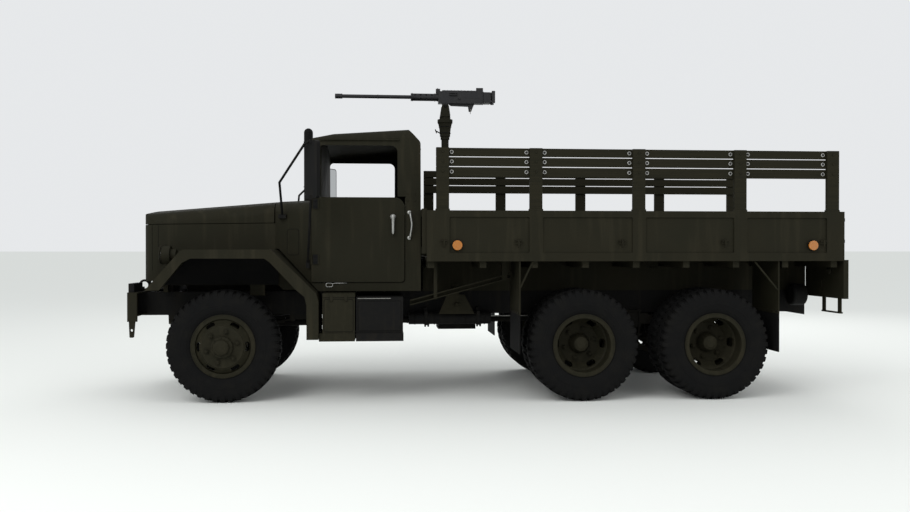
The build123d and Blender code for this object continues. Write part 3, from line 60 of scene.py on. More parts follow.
MARKER_STATIONS = (2.114, 5.431)
BOGIE_STATION = 3.912
HEADLAMP = (0.78, 1.346)
PINTLE_STATION = 2.091
LEVER_STATION = 1.542


def place(points):
    """Points (station, y, z) as frame coordinates: x is the front axle's x less the station."""
    points = np.asarray(points, float)
    return np.stack([FRONT_AXLE_X - points[..., 0], points[..., 1], points[..., 2]], -1)


def linear(colour):
    """sRGB hex colour as linear red, green, blue and full alpha."""
    values = np.array([int(colour[i:i + 2], 16) for i in (1, 3, 5)]) / 255
    straight = np.where(values <= 0.04045, values / 12.92, ((values + 0.055) / 1.055) ** 2.4)
    return (*straight, 1.0)


def add_node(tree, kind, settings=(), links=()):
    """One shader node: settings name its fields or sockets, links name socket and (node, output)."""
    node = tree.nodes.new(kind)
    for name, value in dict(settings).items():
        if isinstance(name, str) and hasattr(node, name):
            setattr(node, name, value)
        else:
            node.inputs[name].default_value = value
    for name, (source, output) in dict(links).items():
        tree.links.new(source.outputs[output], node.inputs[name])
    return node


def new_finish(name, settings):
    """A material with one principled shader; returns material, tree, shader and object coordinates."""
    material = bpy.data.materials.new(name)
    material.use_nodes = True
    tree = material.node_tree
    tree.nodes.clear()
    shader = add_node(tree, "ShaderNodeBsdfPrincipled", settings)
    add_node(tree, "ShaderNodeOutputMaterial", links={"Surface": (shader, "BSDF")})
    coordinates = add_node(tree, "ShaderNodeTexCoord")
    return material, tree, shader, coordinates


def noise(tree, coordinates, scale, stretch=(1, 1, 1), detail=3.0):
    """Noise on object coordinates, with scale in cells a metre and a stretch along each axis."""
    mapping = add_node(tree, "ShaderNodeMapping", {"Scale": stretch}, {"Vector": (coordinates, "Object")})
    return add_node(tree, "ShaderNodeTexNoise", {"Scale": scale, "Detail": detail}, {"Vector": (mapping, 0)})


def between(tree, value, output, low, high, to_low=0.0, to_high=1.0):
    """A value from low to high stretched to another range, and held at its ends."""
    settings = {"From Min": low, "From Max": high, "To Min": to_low, "To Max": to_high}
    return add_node(tree, "ShaderNodeMapRange", settings, {"Value": (value, output)})


def mixed(tree, first, second, factor, output=0):
    """Two colours, or a node's colour and a colour, mixed by a node's value."""
    node = add_node(tree, "ShaderNodeMix", {"data_type": "RGBA"}, {"Factor": (factor, output)})
    for index, colour in ((6, first), (7, second)):
        if isinstance(colour, str):
            node.inputs[index].default_value = linear(colour)
        else:
            tree.links.new(colour[0].outputs[colour[1]], node.inputs[index])
    return node


def coloured(tree, shader, node):
    """Sends a colour mix to the shader."""
    tree.links.new(node.outputs[2], shader.inputs["Base Color"])


def raised(tree, shader, height, strength, depth, output=0):
    """Small relief on the shader's surface, following a node's value, with a depth in metres."""
    bump = add_node(tree, "ShaderNodeBump", {"Strength": strength, "Distance": depth},
                    {"Height": (height, output)})
    tree.links.new(bump.outputs[0], shader.inputs["Normal"])


def coated(name, colour, faded, dust, roughness, grain_mm, grain_depth, dust_top=1.1):
    """Paint sprayed over metal or wood: slow fading, rain streaks, road dust low down, fine orange peel."""
    material, tree, shader, coordinates = new_finish(name, {"IOR": 1.5, "Specular IOR Level": 0.08})
    fade = between(tree, noise(tree, coordinates, 1.7, detail=5.0), 0, 0.42, 0.68)
    streak = between(tree, noise(tree, coordinates, 14, (1, 1, 0.09), 4.0), 0, 0.52, 0.72, 0.0, 0.55)
    worn = mixed(tree, colour, faded, fade)
    streaked = mixed(tree, (worn, 2), dust, streak)
    height = add_node(tree, "ShaderNodeSeparateXYZ", links={"Vector": (coordinates, "Object")})
    low_down = between(tree, height, "Z", 0.25, dust_top, 0.5, 0.0)
    speckle = between(tree, noise(tree, coordinates, 24, detail=6.0), 0, 0.35, 0.7)
    settled = add_node(tree, "ShaderNodeMath", {"operation": "MULTIPLY"}, {0: (low_down, 0), 1: (speckle, 0)})
    final = mixed(tree, (streaked, 2), dust, settled)
    coloured(tree, shader, final)
    sheen = between(tree, fade, 0, 0, 1, roughness - 0.06, roughness + 0.1)
    tree.links.new(sheen.outputs[0], shader.inputs["Roughness"])
    grain = noise(tree, coordinates, 1000 / grain_mm, detail=2.0)
    raised(tree, shader, grain, 0.5, grain_depth)
    return material


def moulded_rubber():
    """Carbon-black rubber from a mould: near black, dull, dust held in the fine pores."""
    material, tree, shader, coordinates = new_finish("moulded_rubber", {"IOR": 1.52, "Specular IOR Level": 0.08,
                                                     "Roughness": 0.85})
    dusty = between(tree, noise(tree, coordinates, 9, detail=6.0), 0, 0.45, 0.75, 0.0, 0.45)
    colour = mixed(tree, "#101010", "#191815", dusty)
    coloured(tree, shader, colour)
    grain = noise(tree, coordinates, 260, detail=3.0)
    raised(tree, shader, grain, 0.4, 0.0006)
    return material


def float_glass():
    """Float glass, slightly green through its edge, smooth."""
    return new_finish("float_glass", {"Base Color": linear("#dfe8e2"), "IOR": 1.52, "Roughness": 0.02,
                      "Transmission Weight": 1.0})[0]


def pressed_lens(name, colour, depth):
    """Pressed lamp lens: tinted plastic or glass with upright flutes 6 mm apart."""
    material, tree, shader, coordinates = new_finish(name, {"Base Color": linear(colour), "IOR": 1.49,
                                                     "Roughness": 0.12, "Transmission Weight": depth,
                                                     "Coat Weight": 0.4})
    flutes = add_node(tree, "ShaderNodeTexWave", {"Scale": 52.0, "bands_direction": "X"},
                      {"Vector": (coordinates, "Object")})
    raised(tree, shader, flutes, 0.5, 0.001, 1)
    return material


def bare_metal(name, colour, roughness, scratch, metallic=1.0):
    """Bare or plated metal: even colour, long fine scratches that spread its highlights."""
    material, tree, shader, coordinates = new_finish(name, {"Metallic": metallic})
    scratches = between(tree, noise(tree, coordinates, 240, (0.08, 1, 1), 4.0), 0, 0.3, 0.7,
                        roughness - scratch, roughness + scratch)
    tree.links.new(scratches.outputs[0], shader.inputs["Roughness"])
    stain = between(tree, noise(tree, coordinates, 12, detail=4.0), 0, 0.4, 0.75, 0.0, 0.35)
    shade = mixed(tree, colour, "#2b2a28", stain)
    coloured(tree, shader, shade)
    return material


def silvered_glass():
    """Mirror: silver behind clear glass, near colourless."""
    return new_finish("silvered_glass", {"Base Color": linear("#b9bbbb"), "Metallic": 1.0,
                      "Roughness": 0.06})[0]


def painted_ash():
    """Ash slats brushed with olive paint: raised grain along the board, bare wood where the paint has worn."""
    material, tree, shader, coordinates = new_finish("painted_ash", {"IOR": 1.5, "Specular IOR Level": 0.08})
    grain = noise(tree, coordinates, 120, (0.02, 1, 1), 5.0)
    lines = between(tree, grain, 0, 0.35, 0.65)
    tone = mixed(tree, "#1c1b12", "#242218", lines)
    patches = between(tree, noise(tree, coordinates, 7, (0.25, 1, 1), 6.0), 0, 0.66, 0.78, 0.0, 0.6)
    bare = mixed(tree, (tone, 2), "#3d3527", patches)
    coloured(tree, shader, bare)
    rough = between(tree, lines, 0, 0, 1, 0.62, 0.8)
    tree.links.new(rough.outputs[0], shader.inputs["Roughness"])
    raised(tree, shader, grain, 0.6, 0.0008)
    return material


def duck_canvas():
    """Cotton duck seat cover: plain weave, drawn at 4 mm so that its threads show, with a soft sheen."""
    material, tree, shader, coordinates = new_finish("duck_canvas", {"Roughness": 0.9, "Sheen Weight": 0.25,
                                                     "Specular IOR Level": 0.15})
    threads = [add_node(tree, "ShaderNodeTexWave", {"Scale": 39.0, "bands_direction": way},
                        {"Vector": (coordinates, "Object")}) for way in ("X", "Y")]
    woven = add_node(tree, "ShaderNodeMath", {"operation": "MULTIPLY"}, {0: (threads[0], 1), 1: (threads[1],
                     1)})
    colour = mixed(tree, "#2b2a1e", "#3c3a2a", woven)
    coloured(tree, shader, colour)
    raised(tree, shader, woven, 0.5, 0.0008)
    return material


def joint_sealer():
    """Dark sealing compound pressed into a sheet joint: nearly black and quite dull."""
    return new_finish("joint_sealer", {"Base Color": linear("#0c0c0a"), "Roughness": 0.85, "IOR": 1.5,
                      "Specular IOR Level": 0.1})[0]


def seamless_paper(colour):
    """Pale matt paper that the truck stands on: one colour with no gloss, so only the shadow marks it."""
    return new_finish("seamless_paper", {"Base Color": linear(colour), "Roughness": 0.95,
                      "Specular IOR Level": 0.0})[0]


OLIVE = coated("olive_enamel_on_steel", "#1e1d14", "#232118", "#2e2b20", 0.72, 3.0, 0.0002)
BLACK = coated("black_chassis_enamel", "#101010", "#141413", "#211e18", 0.66, 3.0, 0.0003)
CAST = coated("painted_cast_iron", "#121211", "#181714", "#24211a", 0.74, 2.0, 0.0012)
OLIVE_CAST = coated("olive_cast_steel", "#1d1c14", "#222017", "#2e2b20", 0.74, 2.2, 0.001)
STEP_PAINT = coated("worn_step_paint", "#1d1c14", "#29261d", "#39342a", 0.66, 3.0, 0.0004)
RUBBER = moulded_rubber()
GLASS = float_glass()
AMBER = pressed_lens("amber_marker_lens", "#b06a0c", 0.2)
CLEAR_LENS = pressed_lens("clear_lamp_lens", "#5d625f", 0.9)
RED_LENS = pressed_lens("red_tail_lens", "#6d100b", 0.3)
MIRROR = silvered_glass()
ZINC = bare_metal("dull_zinc_plate", "#a9a9a5", 0.42, 0.1, 0.75)
STEEL = bare_metal("phosphated_steel", "#1e1e20", 0.5, 0.12, 0.5)
BRIGHT = bare_metal("worn_bright_steel", "#8b8a86", 0.34, 0.1)
ASH = painted_ash()
CANVAS = duck_canvas()
SEALER = joint_sealer()

SLOT_FINISH = {
    "olive_paint": OLIVE, "black_paint": BLACK, "tyre": RUBBER, "rubber": RUBBER, "clear_glass": GLASS,
    "amber_lens": AMBER, "mirror_face": MIRROR, "painted_wood": ASH, "seat_canvas": CANVAS, "gun_steel": STEEL,
}
NODE_FINISH = {"axles": CAST, "drivetrain": CAST, "suspension": CAST, "lamp_lenses": CLEAR_LENS,
               "knuckle_left": CAST, "knuckle_right": CAST, "gun_pedestal": OLIVE_CAST, "mirrors": BLACK,
               "gun_pintle": OLIVE_CAST}


def finish_cad_nodes():
    """Every carried-over node takes the finish of its material slot, or its own."""
    slots = {}
    for row in frame["record"]["subparts"]:
        slots[row["node"]] = row["material_slot"]
    for name, node in frame["nodes"].items():
        finish = NODE_FINISH.get(name, SLOT_FINISH[slots[name]])
        node.data.materials.clear()
        node.data.materials.append(finish)


def grid_faces(rows, columns, wrap_rows=False, wrap_columns=False):
    """Quads of a grid of rows x columns points, row by row, closed round either way."""
    down = np.arange(rows if wrap_rows else rows - 1)
    along = np.arange(columns if wrap_columns else columns - 1)
    first, second = np.meshgrid(down, along, indexing="ij")
    below, beside = (first + 1) % rows, (second + 1) % columns
    corners = (first * columns + second, first * columns + beside, below * columns + beside,
               below * columns + second)
    return np.stack(corners, -1).reshape(-1, 4).tolist()


def joined(forms):
    """Several (points, faces) forms as one, each one's faces shifted past the points before it."""
    forms = [form for form in forms if len(form[0])]
    shifts = np.cumsum([0] + [len(points) for points, _ in forms[:-1]])
    faces = [[index + int(shift) for index in face] for (_, own), shift in zip(forms, shifts) for face in own]
    return np.concatenate([points for points, _ in forms]), faces


def both_sides(form):
    """A form and its mirror image across the truck's middle plane, the image's faces turned round."""
    points, faces = form
    image = points * np.array([1, -1, 1])
    return joined([form, (image, [face[::-1] for face in faces])])


def add_piece(name, form, finish, body="chassis", smooth=False, bevel=0.0):
    """A form put into the scene as one object that rides on a body; a bevel softens its sharp edges."""
    points, faces = form
    mesh = bpy.data.meshes.new(name)
    mesh.from_pydata(points.tolist(), [], faces)
    mesh.polygons.foreach_set("use_smooth", np.full(len(mesh.polygons), smooth))
    mesh.materials.append(finish)
    mesh.validate()
    mesh.update()
    piece = bpy.data.objects.new(name, mesh)
    bpy.context.scene.collection.objects.link(piece)
    if bevel:
        softened = piece.modifiers.new("edges", "BEVEL")
        softened.width = bevel
        softened.segments = 2
        softened.limit_method = "ANGLE"
    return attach(piece, body)


def blocks(rows):
    """Boxes from rows (front station, rear station, low y, high y, low z, high z), as one form."""
    rows = np.asarray(rows, float).reshape(-1, 6)
    rear, front = FRONT_AXLE_X - rows[:, 1], FRONT_AXLE_X - rows[:, 0]
    span = np.stack([rear, front, rows[:, 2], rows[:, 3], rows[:, 4], rows[:, 5]], 1)
    picks = np.array([(x, 2 + y, 4 + z) for x in (0, 1) for y in (0, 1) for z in (0, 1)])
    points = span[:, picks].reshape(-1, 3)
    box = np.array([(0, 1, 3, 2), (4, 6, 7, 5), (0, 4, 5, 1), (2, 3, 7, 6), (0, 2, 6, 4), (1, 5, 7, 3)])
    faces = (box[None] + 8 * np.arange(len(rows))[:, None, None]).reshape(-1, 4)
    return points, faces.tolist()


def turned(profile, centre, axis="y", steps=24, side=1.0):
    """Profile (along the axis, radius) turned about a cross axis through centre; ends close in a flat cap."""
    profile = np.asarray(profile, float)
    angle = np.linspace(0, 2 * np.pi, steps, endpoint=False)
    along = np.broadcast_to(profile[:, :1] * side, (len(profile), steps))
    up, over = profile[:, 1:] * np.cos(angle), profile[:, 1:] * np.sin(angle) * side
    order = {"y": (over, along, up), "x": (along, up, over), "z": (up, over, along)}[axis]
    points = np.stack(order, -1).reshape(-1, 3) + np.asarray(centre, float)
    faces = grid_faces(len(profile), steps, wrap_columns=True)
    last = (len(profile) - 1) * steps
    faces += [list(range(steps))[::-1], list(range(last, last + steps))]
    return outward((points, faces))


def frames_along(path, closed, across=None):
    """Unit tangent and two cross directions at each path point. The first cross one is the direction in which
    the path spreads least, or the one asked for, made square to the tangent."""
    ahead = np.roll(path, -1, 0) - np.roll(path, 1, 0)
    if not closed:
        ahead[0], ahead[-1] = path[1] - path[0], path[-1] - path[-2]
    ahead /= np.linalg.norm(ahead, axis=1, keepdims=True)
    if across is None:
        across = np.linalg.svd(path - path.mean(0))[2][-1]
    first = np.asarray(across, float) - (ahead @ np.asarray(across, float))[:, None] * ahead
    first /= np.linalg.norm(first, axis=1, keepdims=True)
    return ahead, first, np.cross(first, ahead)


def swept(section, path, closed=False, across=None):
    """A closed section (across, up) carried along a path of frame points; open paths get flat ends."""
    section, path = np.asarray(section, float), np.asarray(path, float)
    _, level, upward = frames_along(path, closed, across)
    points = (path[:, None] + section[None, :, :1] * level[:, None] + section[None, :, 1:] * upward[:, None])
    count = len(section)
    faces = grid_faces(len(path), count, closed, True)
    if not closed:
        last = (len(path) - 1) * count
        faces += [list(range(count)), list(range(last, last + count))[::-1]]
    return outward((points.reshape(-1, 3), faces))


def circle(radius, steps=10):
    """Round section of a rod."""
    angle = np.linspace(0, 2 * np.pi, steps, endpoint=False)
    return np.stack([np.cos(angle), np.sin(angle)], 1) * radius


def rounded_path(corners, bend, steps=5):
    """Polyline with each inner corner replaced by a smooth quadratic curve that starts a bend away from it."""
    corners = np.asarray(corners, float)
    before, middle, after = corners[:-2], corners[1:-1], corners[2:]
    to_before, to_after = before - middle, after - middle
    reach_before = np.minimum(bend, 0.49 * np.linalg.norm(to_before, axis=1, keepdims=True))
    reach_after = np.minimum(bend, 0.49 * np.linalg.norm(to_after, axis=1, keepdims=True))
    start = middle + to_before / np.linalg.norm(to_before, axis=1, keepdims=True) * reach_before
    end = middle + to_after / np.linalg.norm(to_after, axis=1, keepdims=True) * reach_after
    t = np.linspace(0, 1, steps)[None, :, None]
    curve = (1 - t) ** 2 * start[:, None] + 2 * t * (1 - t) * middle[:, None] + t ** 2 * end[:, None]
    return np.concatenate([corners[:1], curve.reshape(-1, 3), corners[-1:]])


def rod(corners, radius, bend=0.0, steps=10):
    """Round rod or pipe through corners (station, y, z)."""
    path = place(corners)
    if bend and len(path) > 2:
        path = rounded_path(path, bend)
    return swept(circle(radius, steps), path)


def bead(corners, radius, bend=0.004, sides=6):
    """Closed bead: a round section carried round corners (station, y, z), each turned by a short curve."""
    corners = np.asarray(corners, float)
    once_round = np.concatenate([corners[-1:], corners, corners[:1]])
    return swept(circle(radius, sides), rounded_path(place(once_round), bend)[1:-1], closed=True)


def strap(corners, width, thickness, across, bend=0.0):
    """Flat strap through corners (station, y, z); its width lies along the across direction."""
    half, deep = width / 2, thickness / 2
    section = [(-half, -deep), (half, -deep), (half, deep), (-half, deep)]
    path = place(corners)
    if bend and len(path) > 2:
        path = rounded_path(path, bend)
    return swept(section, path, across=across)


def side_prism(corners, low_y, high_y):
    """Side-view outline (station, z) carried across from one y to another and closed by both outlines."""
    corners = np.asarray(corners, float)
    count = len(corners)
    near = np.column_stack([corners[:, 0], np.full(count, low_y), corners[:, 1]])
    far = np.column_stack([corners[:, 0], np.full(count, high_y), corners[:, 1]])
    faces = grid_faces(2, count, wrap_columns=True) + [list(range(count))[::-1], list(range(count, 2 * count))]
    return outward((place(np.concatenate([near, far])), faces))


def on_side(form, side):
    """A left-hand form, or its mirror image on the right with its faces turned round."""
    points, faces = form
    return form if side > 0 else (points * np.array([1, -1, 1]), [face[::-1] for face in faces])


def ring(centre, normal_axis, radius, thickness, steps=28, sides=8):
    """Round ring: a circle of a radius about centre, with a round section of a thickness."""
    angle = np.linspace(0, 2 * np.pi, steps, endpoint=False)
    turn = np.linspace(0, 2 * np.pi, sides, endpoint=False)
    out = radius + thickness * np.cos(turn)[None, :]
    first, second = out * np.cos(angle)[:, None], out * np.sin(angle)[:, None]
    third = np.broadcast_to(thickness * np.sin(turn)[None, :], first.shape)
    order = {"x": (third, first, second), "y": (second, third, first), "z": (first, second, third)}[normal_axis]
    points = np.stack(order, -1).reshape(-1, 3) + place(centre)
    return outward((points, grid_faces(steps, sides, True, True)))


def bolts(points, direction, radius, height, sides=6, washer=1.35):
    """Bolt heads at points (station, y, z) facing one direction: a thin round washer under a chamfered head."""
    centres = place(points).reshape(-1, 3)
    direction = np.asarray(direction, float) / np.linalg.norm(direction)
    helper = np.array([0, 0, 1.0]) if abs(direction[2]) < 0.9 else np.array([1.0, 0, 0])
    across = np.cross(helper, direction)
    across /= np.linalg.norm(across)
    up = np.cross(direction, across)
    angle = np.linspace(0, 2 * np.pi, sides, endpoint=False)
    # height share, radius share
    rings = np.array([(-0.3, washer), (0.18, washer), (0.18, 1.0), (0.85, 1.0), (1.0, 0.82)])
    circle_points = np.cos(angle)[:, None] * across + np.sin(angle)[:, None] * up
    one = rings[:, None, :1] * height * direction + rings[:, None, 1:] * radius * circle_points[None]
    cloud = (centres[:, None] + one.reshape(1, -1, 3)).reshape(-1, 3)
    faces = np.array(grid_faces(len(rings), sides, wrap_columns=True))
    each = len(rings) * sides
    shifts = each * np.arange(len(centres))
    quads = (faces[None] + shifts[:, None, None]).reshape(-1, 4).tolist()
    top = (np.arange((len(rings) - 1) * sides, each)[None] + shifts[:, None]).tolist()
    bottom = (np.arange(sides)[::-1][None] + shifts[:, None]).tolist()
    return outward((cloud, quads + top + bottom))


def wheel_circle(station, y, count, radius, phase=0.0):
    """Points (station, y, z) of a bolt circle on a wheel's face."""
    angle = 2 * np.pi * (np.arange(count) + phase) / count
    return np.stack([station + np.cos(angle) * radius, np.full(count, y), AXLE_Z + np.sin(angle) * radius], 1)


TREAD_BARS = 44
GROOVE_DEPTH = 0.016
# distance from the middle plane, radius, share of the groove's depth
TYRE_FLANK = np.array([(0.090, 0.2590, 0.0), (0.0935, 0.2950, 0.0), (0.1030, 0.3060, 0.0),
                       (0.1160, 0.3280, 0.0), (0.1240, 0.3560, 0.0), (0.1262, 0.3700, 0.0),
                       (0.1285, 0.3725, 0.0), (0.1290, 0.3900, 0.0), (0.1272, 0.3930, 0.0),
                       (0.1278, 0.4200, 0.0), (0.1268, 0.4440, 0.0), (0.1262, 0.4480, 0.75),
                       (0.1230, 0.4700, 0.9), (0.1170, 0.4880, 1.0), (0.1060, 0.5030, 1.0),
                       (0.0880, 0.5100, 1.0), (0.0620, 0.5138, 1.0), (0.0380, 0.5148, 1.0),
                       (0.0270, 0.5149, 1.0), (0.0265, 0.5150, 0.0), (0.0090, 0.5150, 0.0), ])


def tyre_form(station, centre_y, side):
    """Balloon section turned about the axle; from the shoulder to the centre rib its radius drops by the
    groove's depth between cross bars, and the two halves' bars are half a pitch apart."""
    left = TYRE_FLANK
    right = TYRE_FLANK[::-1] * np.array([-1, 1, 1])
    profile = np.concatenate([left, right])
    edges = np.array([0.0, 0.05, 0.40, 0.45, 0.72])
    pitch = (np.arange(TREAD_BARS)[:, None] + edges[None]).ravel()
    in_groove = np.tile(np.array([0.0, 1.0, 1.0, 0.0, 0.0]), TREAD_BARS)
    lean = np.where(profile[:, 0] > 0, 0.0, 0.5) + np.abs(profile[:, 0]) * 2.2
    angle = 2 * np.pi * (pitch[None] + lean[:, None]) / TREAD_BARS
    radius = profile[:, 1:2] - GROOVE_DEPTH * profile[:, 2:3] * in_groove[None]
    y = np.broadcast_to(profile[:, :1], radius.shape)
    x, z = radius * np.sin(angle), radius * np.cos(angle)
    points = np.stack([x, y * side, z], -1)
    if side < 0:
        points = points[::-1]
    points = points.reshape(-1, 3) + place((station, side * centre_y, AXLE_Z))
    return points, grid_faces(len(profile), len(pitch), True, True)


def outward(form):
    """The same form with its faces turned so that its signed volume is positive."""
    points, faces = form
    first = points[[face[0] for face in faces]]
    second = points[[face[1] for face in faces]]
    third = points[[face[2] for face in faces]]
    volume = np.einsum("ij,ij->i", first, np.cross(second, third)).sum()
    return (points, [face[::-1] for face in faces]) if volume < 0 else form


def tyres():
    """Lugged tyres on all six stations, one on each front wheel and two on each rear one."""
    for side_name, side in SIDES.items():
        front = outward(tyre_form(0.0, 0.862, side))
        piece = add_piece(f"lugged_tyre_front_{side_name}", front, RUBBER, f"front_wheel_{side_name}")
        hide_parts(f"tyre_front_{side_name}")
        for axle in ("middle", "rear"):
            twins = [outward(tyre_form(WHEEL_STATIONS[axle], y, side)) for y in (1.040, 0.750)]
            piece = add_piece(f"lugged_tyres_{axle}_{side_name}", joined(twins), RUBBER,
                              f"{axle}_wheels_{side_name}")
            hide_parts(f"tyres_{axle}_{side_name}")


def wheel_fittings():
    """Wheel nuts on their studs, hub-cap bolts, the lock ring's bead and the valve stem of every wheel."""
    for side_name, side in SIDES.items():
        for axle, station in WHEEL_STATIONS.items():
            front = axle == "front"
            body = f"front_wheel_{side_name}" if front else f"{axle}_wheels_{side_name}"
            face = 0.862 + 0.145 if front else 0.895 + 0.012
            cap = face + (0.034 if front else 0.022)
            nuts = bolts(wheel_circle(station, side * (face + 0.001), 6, 0.1425, 0.25), (0, side, 0), 0.021,
                         0.024)
            studs = bolts(wheel_circle(station, side * (face + 0.022), 6, 0.1425, 0.25), (0, side, 0), 0.010,
                          0.012, sides=8, washer=1.0)
            cap_bolts = bolts(wheel_circle(station, side * cap, 8, 0.086), (0, side, 0), 0.0075, 0.007)
            outer_rim_y = (0.862 if front else 1.040) + 0.102
            rim_bead = ring((station, side * (outer_rim_y - 0.003), AXLE_Z), "y", 0.283, 0.0055, 72, 8)
            inner_bead = ring((station, side * (outer_rim_y - 0.006), AXLE_Z), "y", 0.262, 0.005, 72, 8)
            valve = rod([(station + 0.215, side * (face - 0.03), AXLE_Z + 0.03), (station + 0.225,
                         side * (face + 0.005), AXLE_Z + 0.03), (station + 0.228, side * (face + 0.035),
                         AXLE_Z + 0.03)], 0.0045, 0.01)
            form = joined([nuts, studs, cap_bolts, rim_bead, inner_bead, valve])
            add_piece(f"wheel_nuts_{axle}_{side_name}", form, OLIVE_CAST, body)


def bed_fittings():
    """Ring washers and bolts on the slats, bolt heads on the stake posts, and rope hooks."""
    washers = []
    heads = []
    for station in STAKE_STATIONS:
        for low, high in SLAT_HEIGHTS:
            for way in (-1, 1):
                spot = station + way * 0.083
                if STAKE_STATIONS[0] - 0.06 < spot < STAKE_STATIONS[-1] + 0.06:
                    washers.append(ring((spot, 1.175, (low + high) / 2), "y", 0.0145, 0.0045, 16, 6))
                    heads.append((spot, 1.174, (low + high) / 2))
    add_piece("slat_washers", both_sides(joined(washers)), ZINC, smooth=True)
    add_piece("slat_bolts", both_sides(bolts(heads, LEFT, 0.007, 0.006, 8)), STEEL)
    posts = [(s, 1.2105, z) for s in STAKE_STATIONS for pair in SLAT_HEIGHTS for z in [sum(pair) / 2]]
    add_piece("post_bolts", both_sides(bolts(posts, LEFT, 0.011, 0.006, 12)), OLIVE)
    hooks = []
    for station in ROPE_HOOKS:
        hooks.append(rod([(station, BED_HALF, 1.478), (station, BED_HALF + 0.018, 1.482),
                          (station, BED_HALF + 0.024, 1.455), (station, BED_HALF + 0.02, 1.425),
                          (station, BED_HALF + 0.004, 1.418)], 0.007, 0.012))
        hooks.append(rod([(station - 0.03, BED_HALF + 0.012, 1.472), (station + 0.03, BED_HALF + 0.012, 1.472)],
                         0.0065))
    add_piece("rope_hooks", both_sides(joined(hooks)), OLIVE_CAST, smooth=True)


def cowl_side(station):
    """How far the cowl's side stands from the middle: it widens rearwards to meet the cab."""
    return 0.62 + (station - 0.42) * 0.75


def body_seams():
    """Joint lines of the nose and the cowl's cover plate: dark beads 4 mm wide, half sunk in the sheet."""
    plate = [(s, cowl_side(s), z) for s, z in ((0.552, 1.346), (0.668, 1.346), (0.668, 1.588), (0.552, 1.588))]
    seams = [rod([(-0.714, 0.6078, 1.20), (-0.714, 0.6078, 1.622)], 0.0022, steps=6),
             rod([(-0.655, 0.6195, 1.42), (-0.655, 0.6195, 1.624)], 0.0022, steps=6), bead(plate, 0.0022, 0.03)]
    add_piece("body_seams", both_sides(joined(seams)), SEALER, smooth=True)
    screws = [(s, cowl_side(s), z) for s in (0.563, 0.657) for z in (1.362, 1.467, 1.572)]
    add_piece("cover_plate_screws", both_sides(bolts(screws, (0.6, 0.8, 0), 0.006, 0.003, 8)), OLIVE)


def cab_handles():
    """Door levers turned to a taper with a round knob, and bowed grab handles on round feet, both zinc plated."""
    # height under the knob's top, radius
    lever = np.array([(0.0, 0.008), (0.006, 0.017), (0.022, 0.0225), (0.040, 0.0195), (0.052, 0.0145),
                      (0.115, 0.0125), (0.175, 0.0120), (0.187, 0.006)])
    for side_name, side in SIDES.items():
        profile = np.column_stack([-lever[:, 0], lever[:, 1]])
        form = turned(profile, place((LEVER_STATION, 0.950, 1.724)), "z", 16)
        spindle = turned([(0.920, 0.011), (0.955, 0.011)], place((LEVER_STATION, 0, 1.700)), "y", 12)
        plate = turned([(0.919, 0.026), (0.924, 0.026), (0.926, 0.018)], place((LEVER_STATION, 0, 1.700)), "y",
                       20)
        add_piece(f"door_lever_{side_name}", on_side(joined([form, spindle, plate]), side), ZINC,
                  f"door_{side_name}", smooth=True)
        rows = [(0.808, 0.851, 0.9295, 0.9325, low, low + 0.088) for low in (1.262, 1.772)]
        leaf_bolts = [(s, 0.932, low + z) for low in (1.262, 1.772) for s in (0.820, 0.840)
                      for z in (0.02, 0.068)]
        form = joined([blocks(rows), bolts(leaf_bolts, LEFT, 0.006, 0.005)])
        add_piece(f"hinge_plates_{side_name}", on_side(form, side), BLACK, f"door_{side_name}")
    grip = rod([(1.692, 0.904, 1.738), (1.700, 0.940, 1.734), (1.718, 0.950, 1.624), (1.700, 0.940, 1.512),
                (1.692, 0.904, 1.508)], 0.0085, 0.03)
    feet = [turned([(0.903, 0.019), (0.909, 0.019), (0.913, 0.011)], place((1.692, 0, z)), "y", 16)
            for z in (1.741, 1.505)]
    hook = [bead([(0.925, 0.908, 1.052), (0.985, 0.908, 1.052), (0.985, 0.908, 1.086), (0.925, 0.908, 1.086)],
                 0.0035, 0.016),
            rod([(0.985, 0.908, 1.080), (1.010, 0.912, 1.086), (1.120, 0.912, 1.086)], 0.0035, 0.01)]
    add_piece("cab_handles", both_sides(joined([grip] + feet + hook)), ZINC, smooth=True)


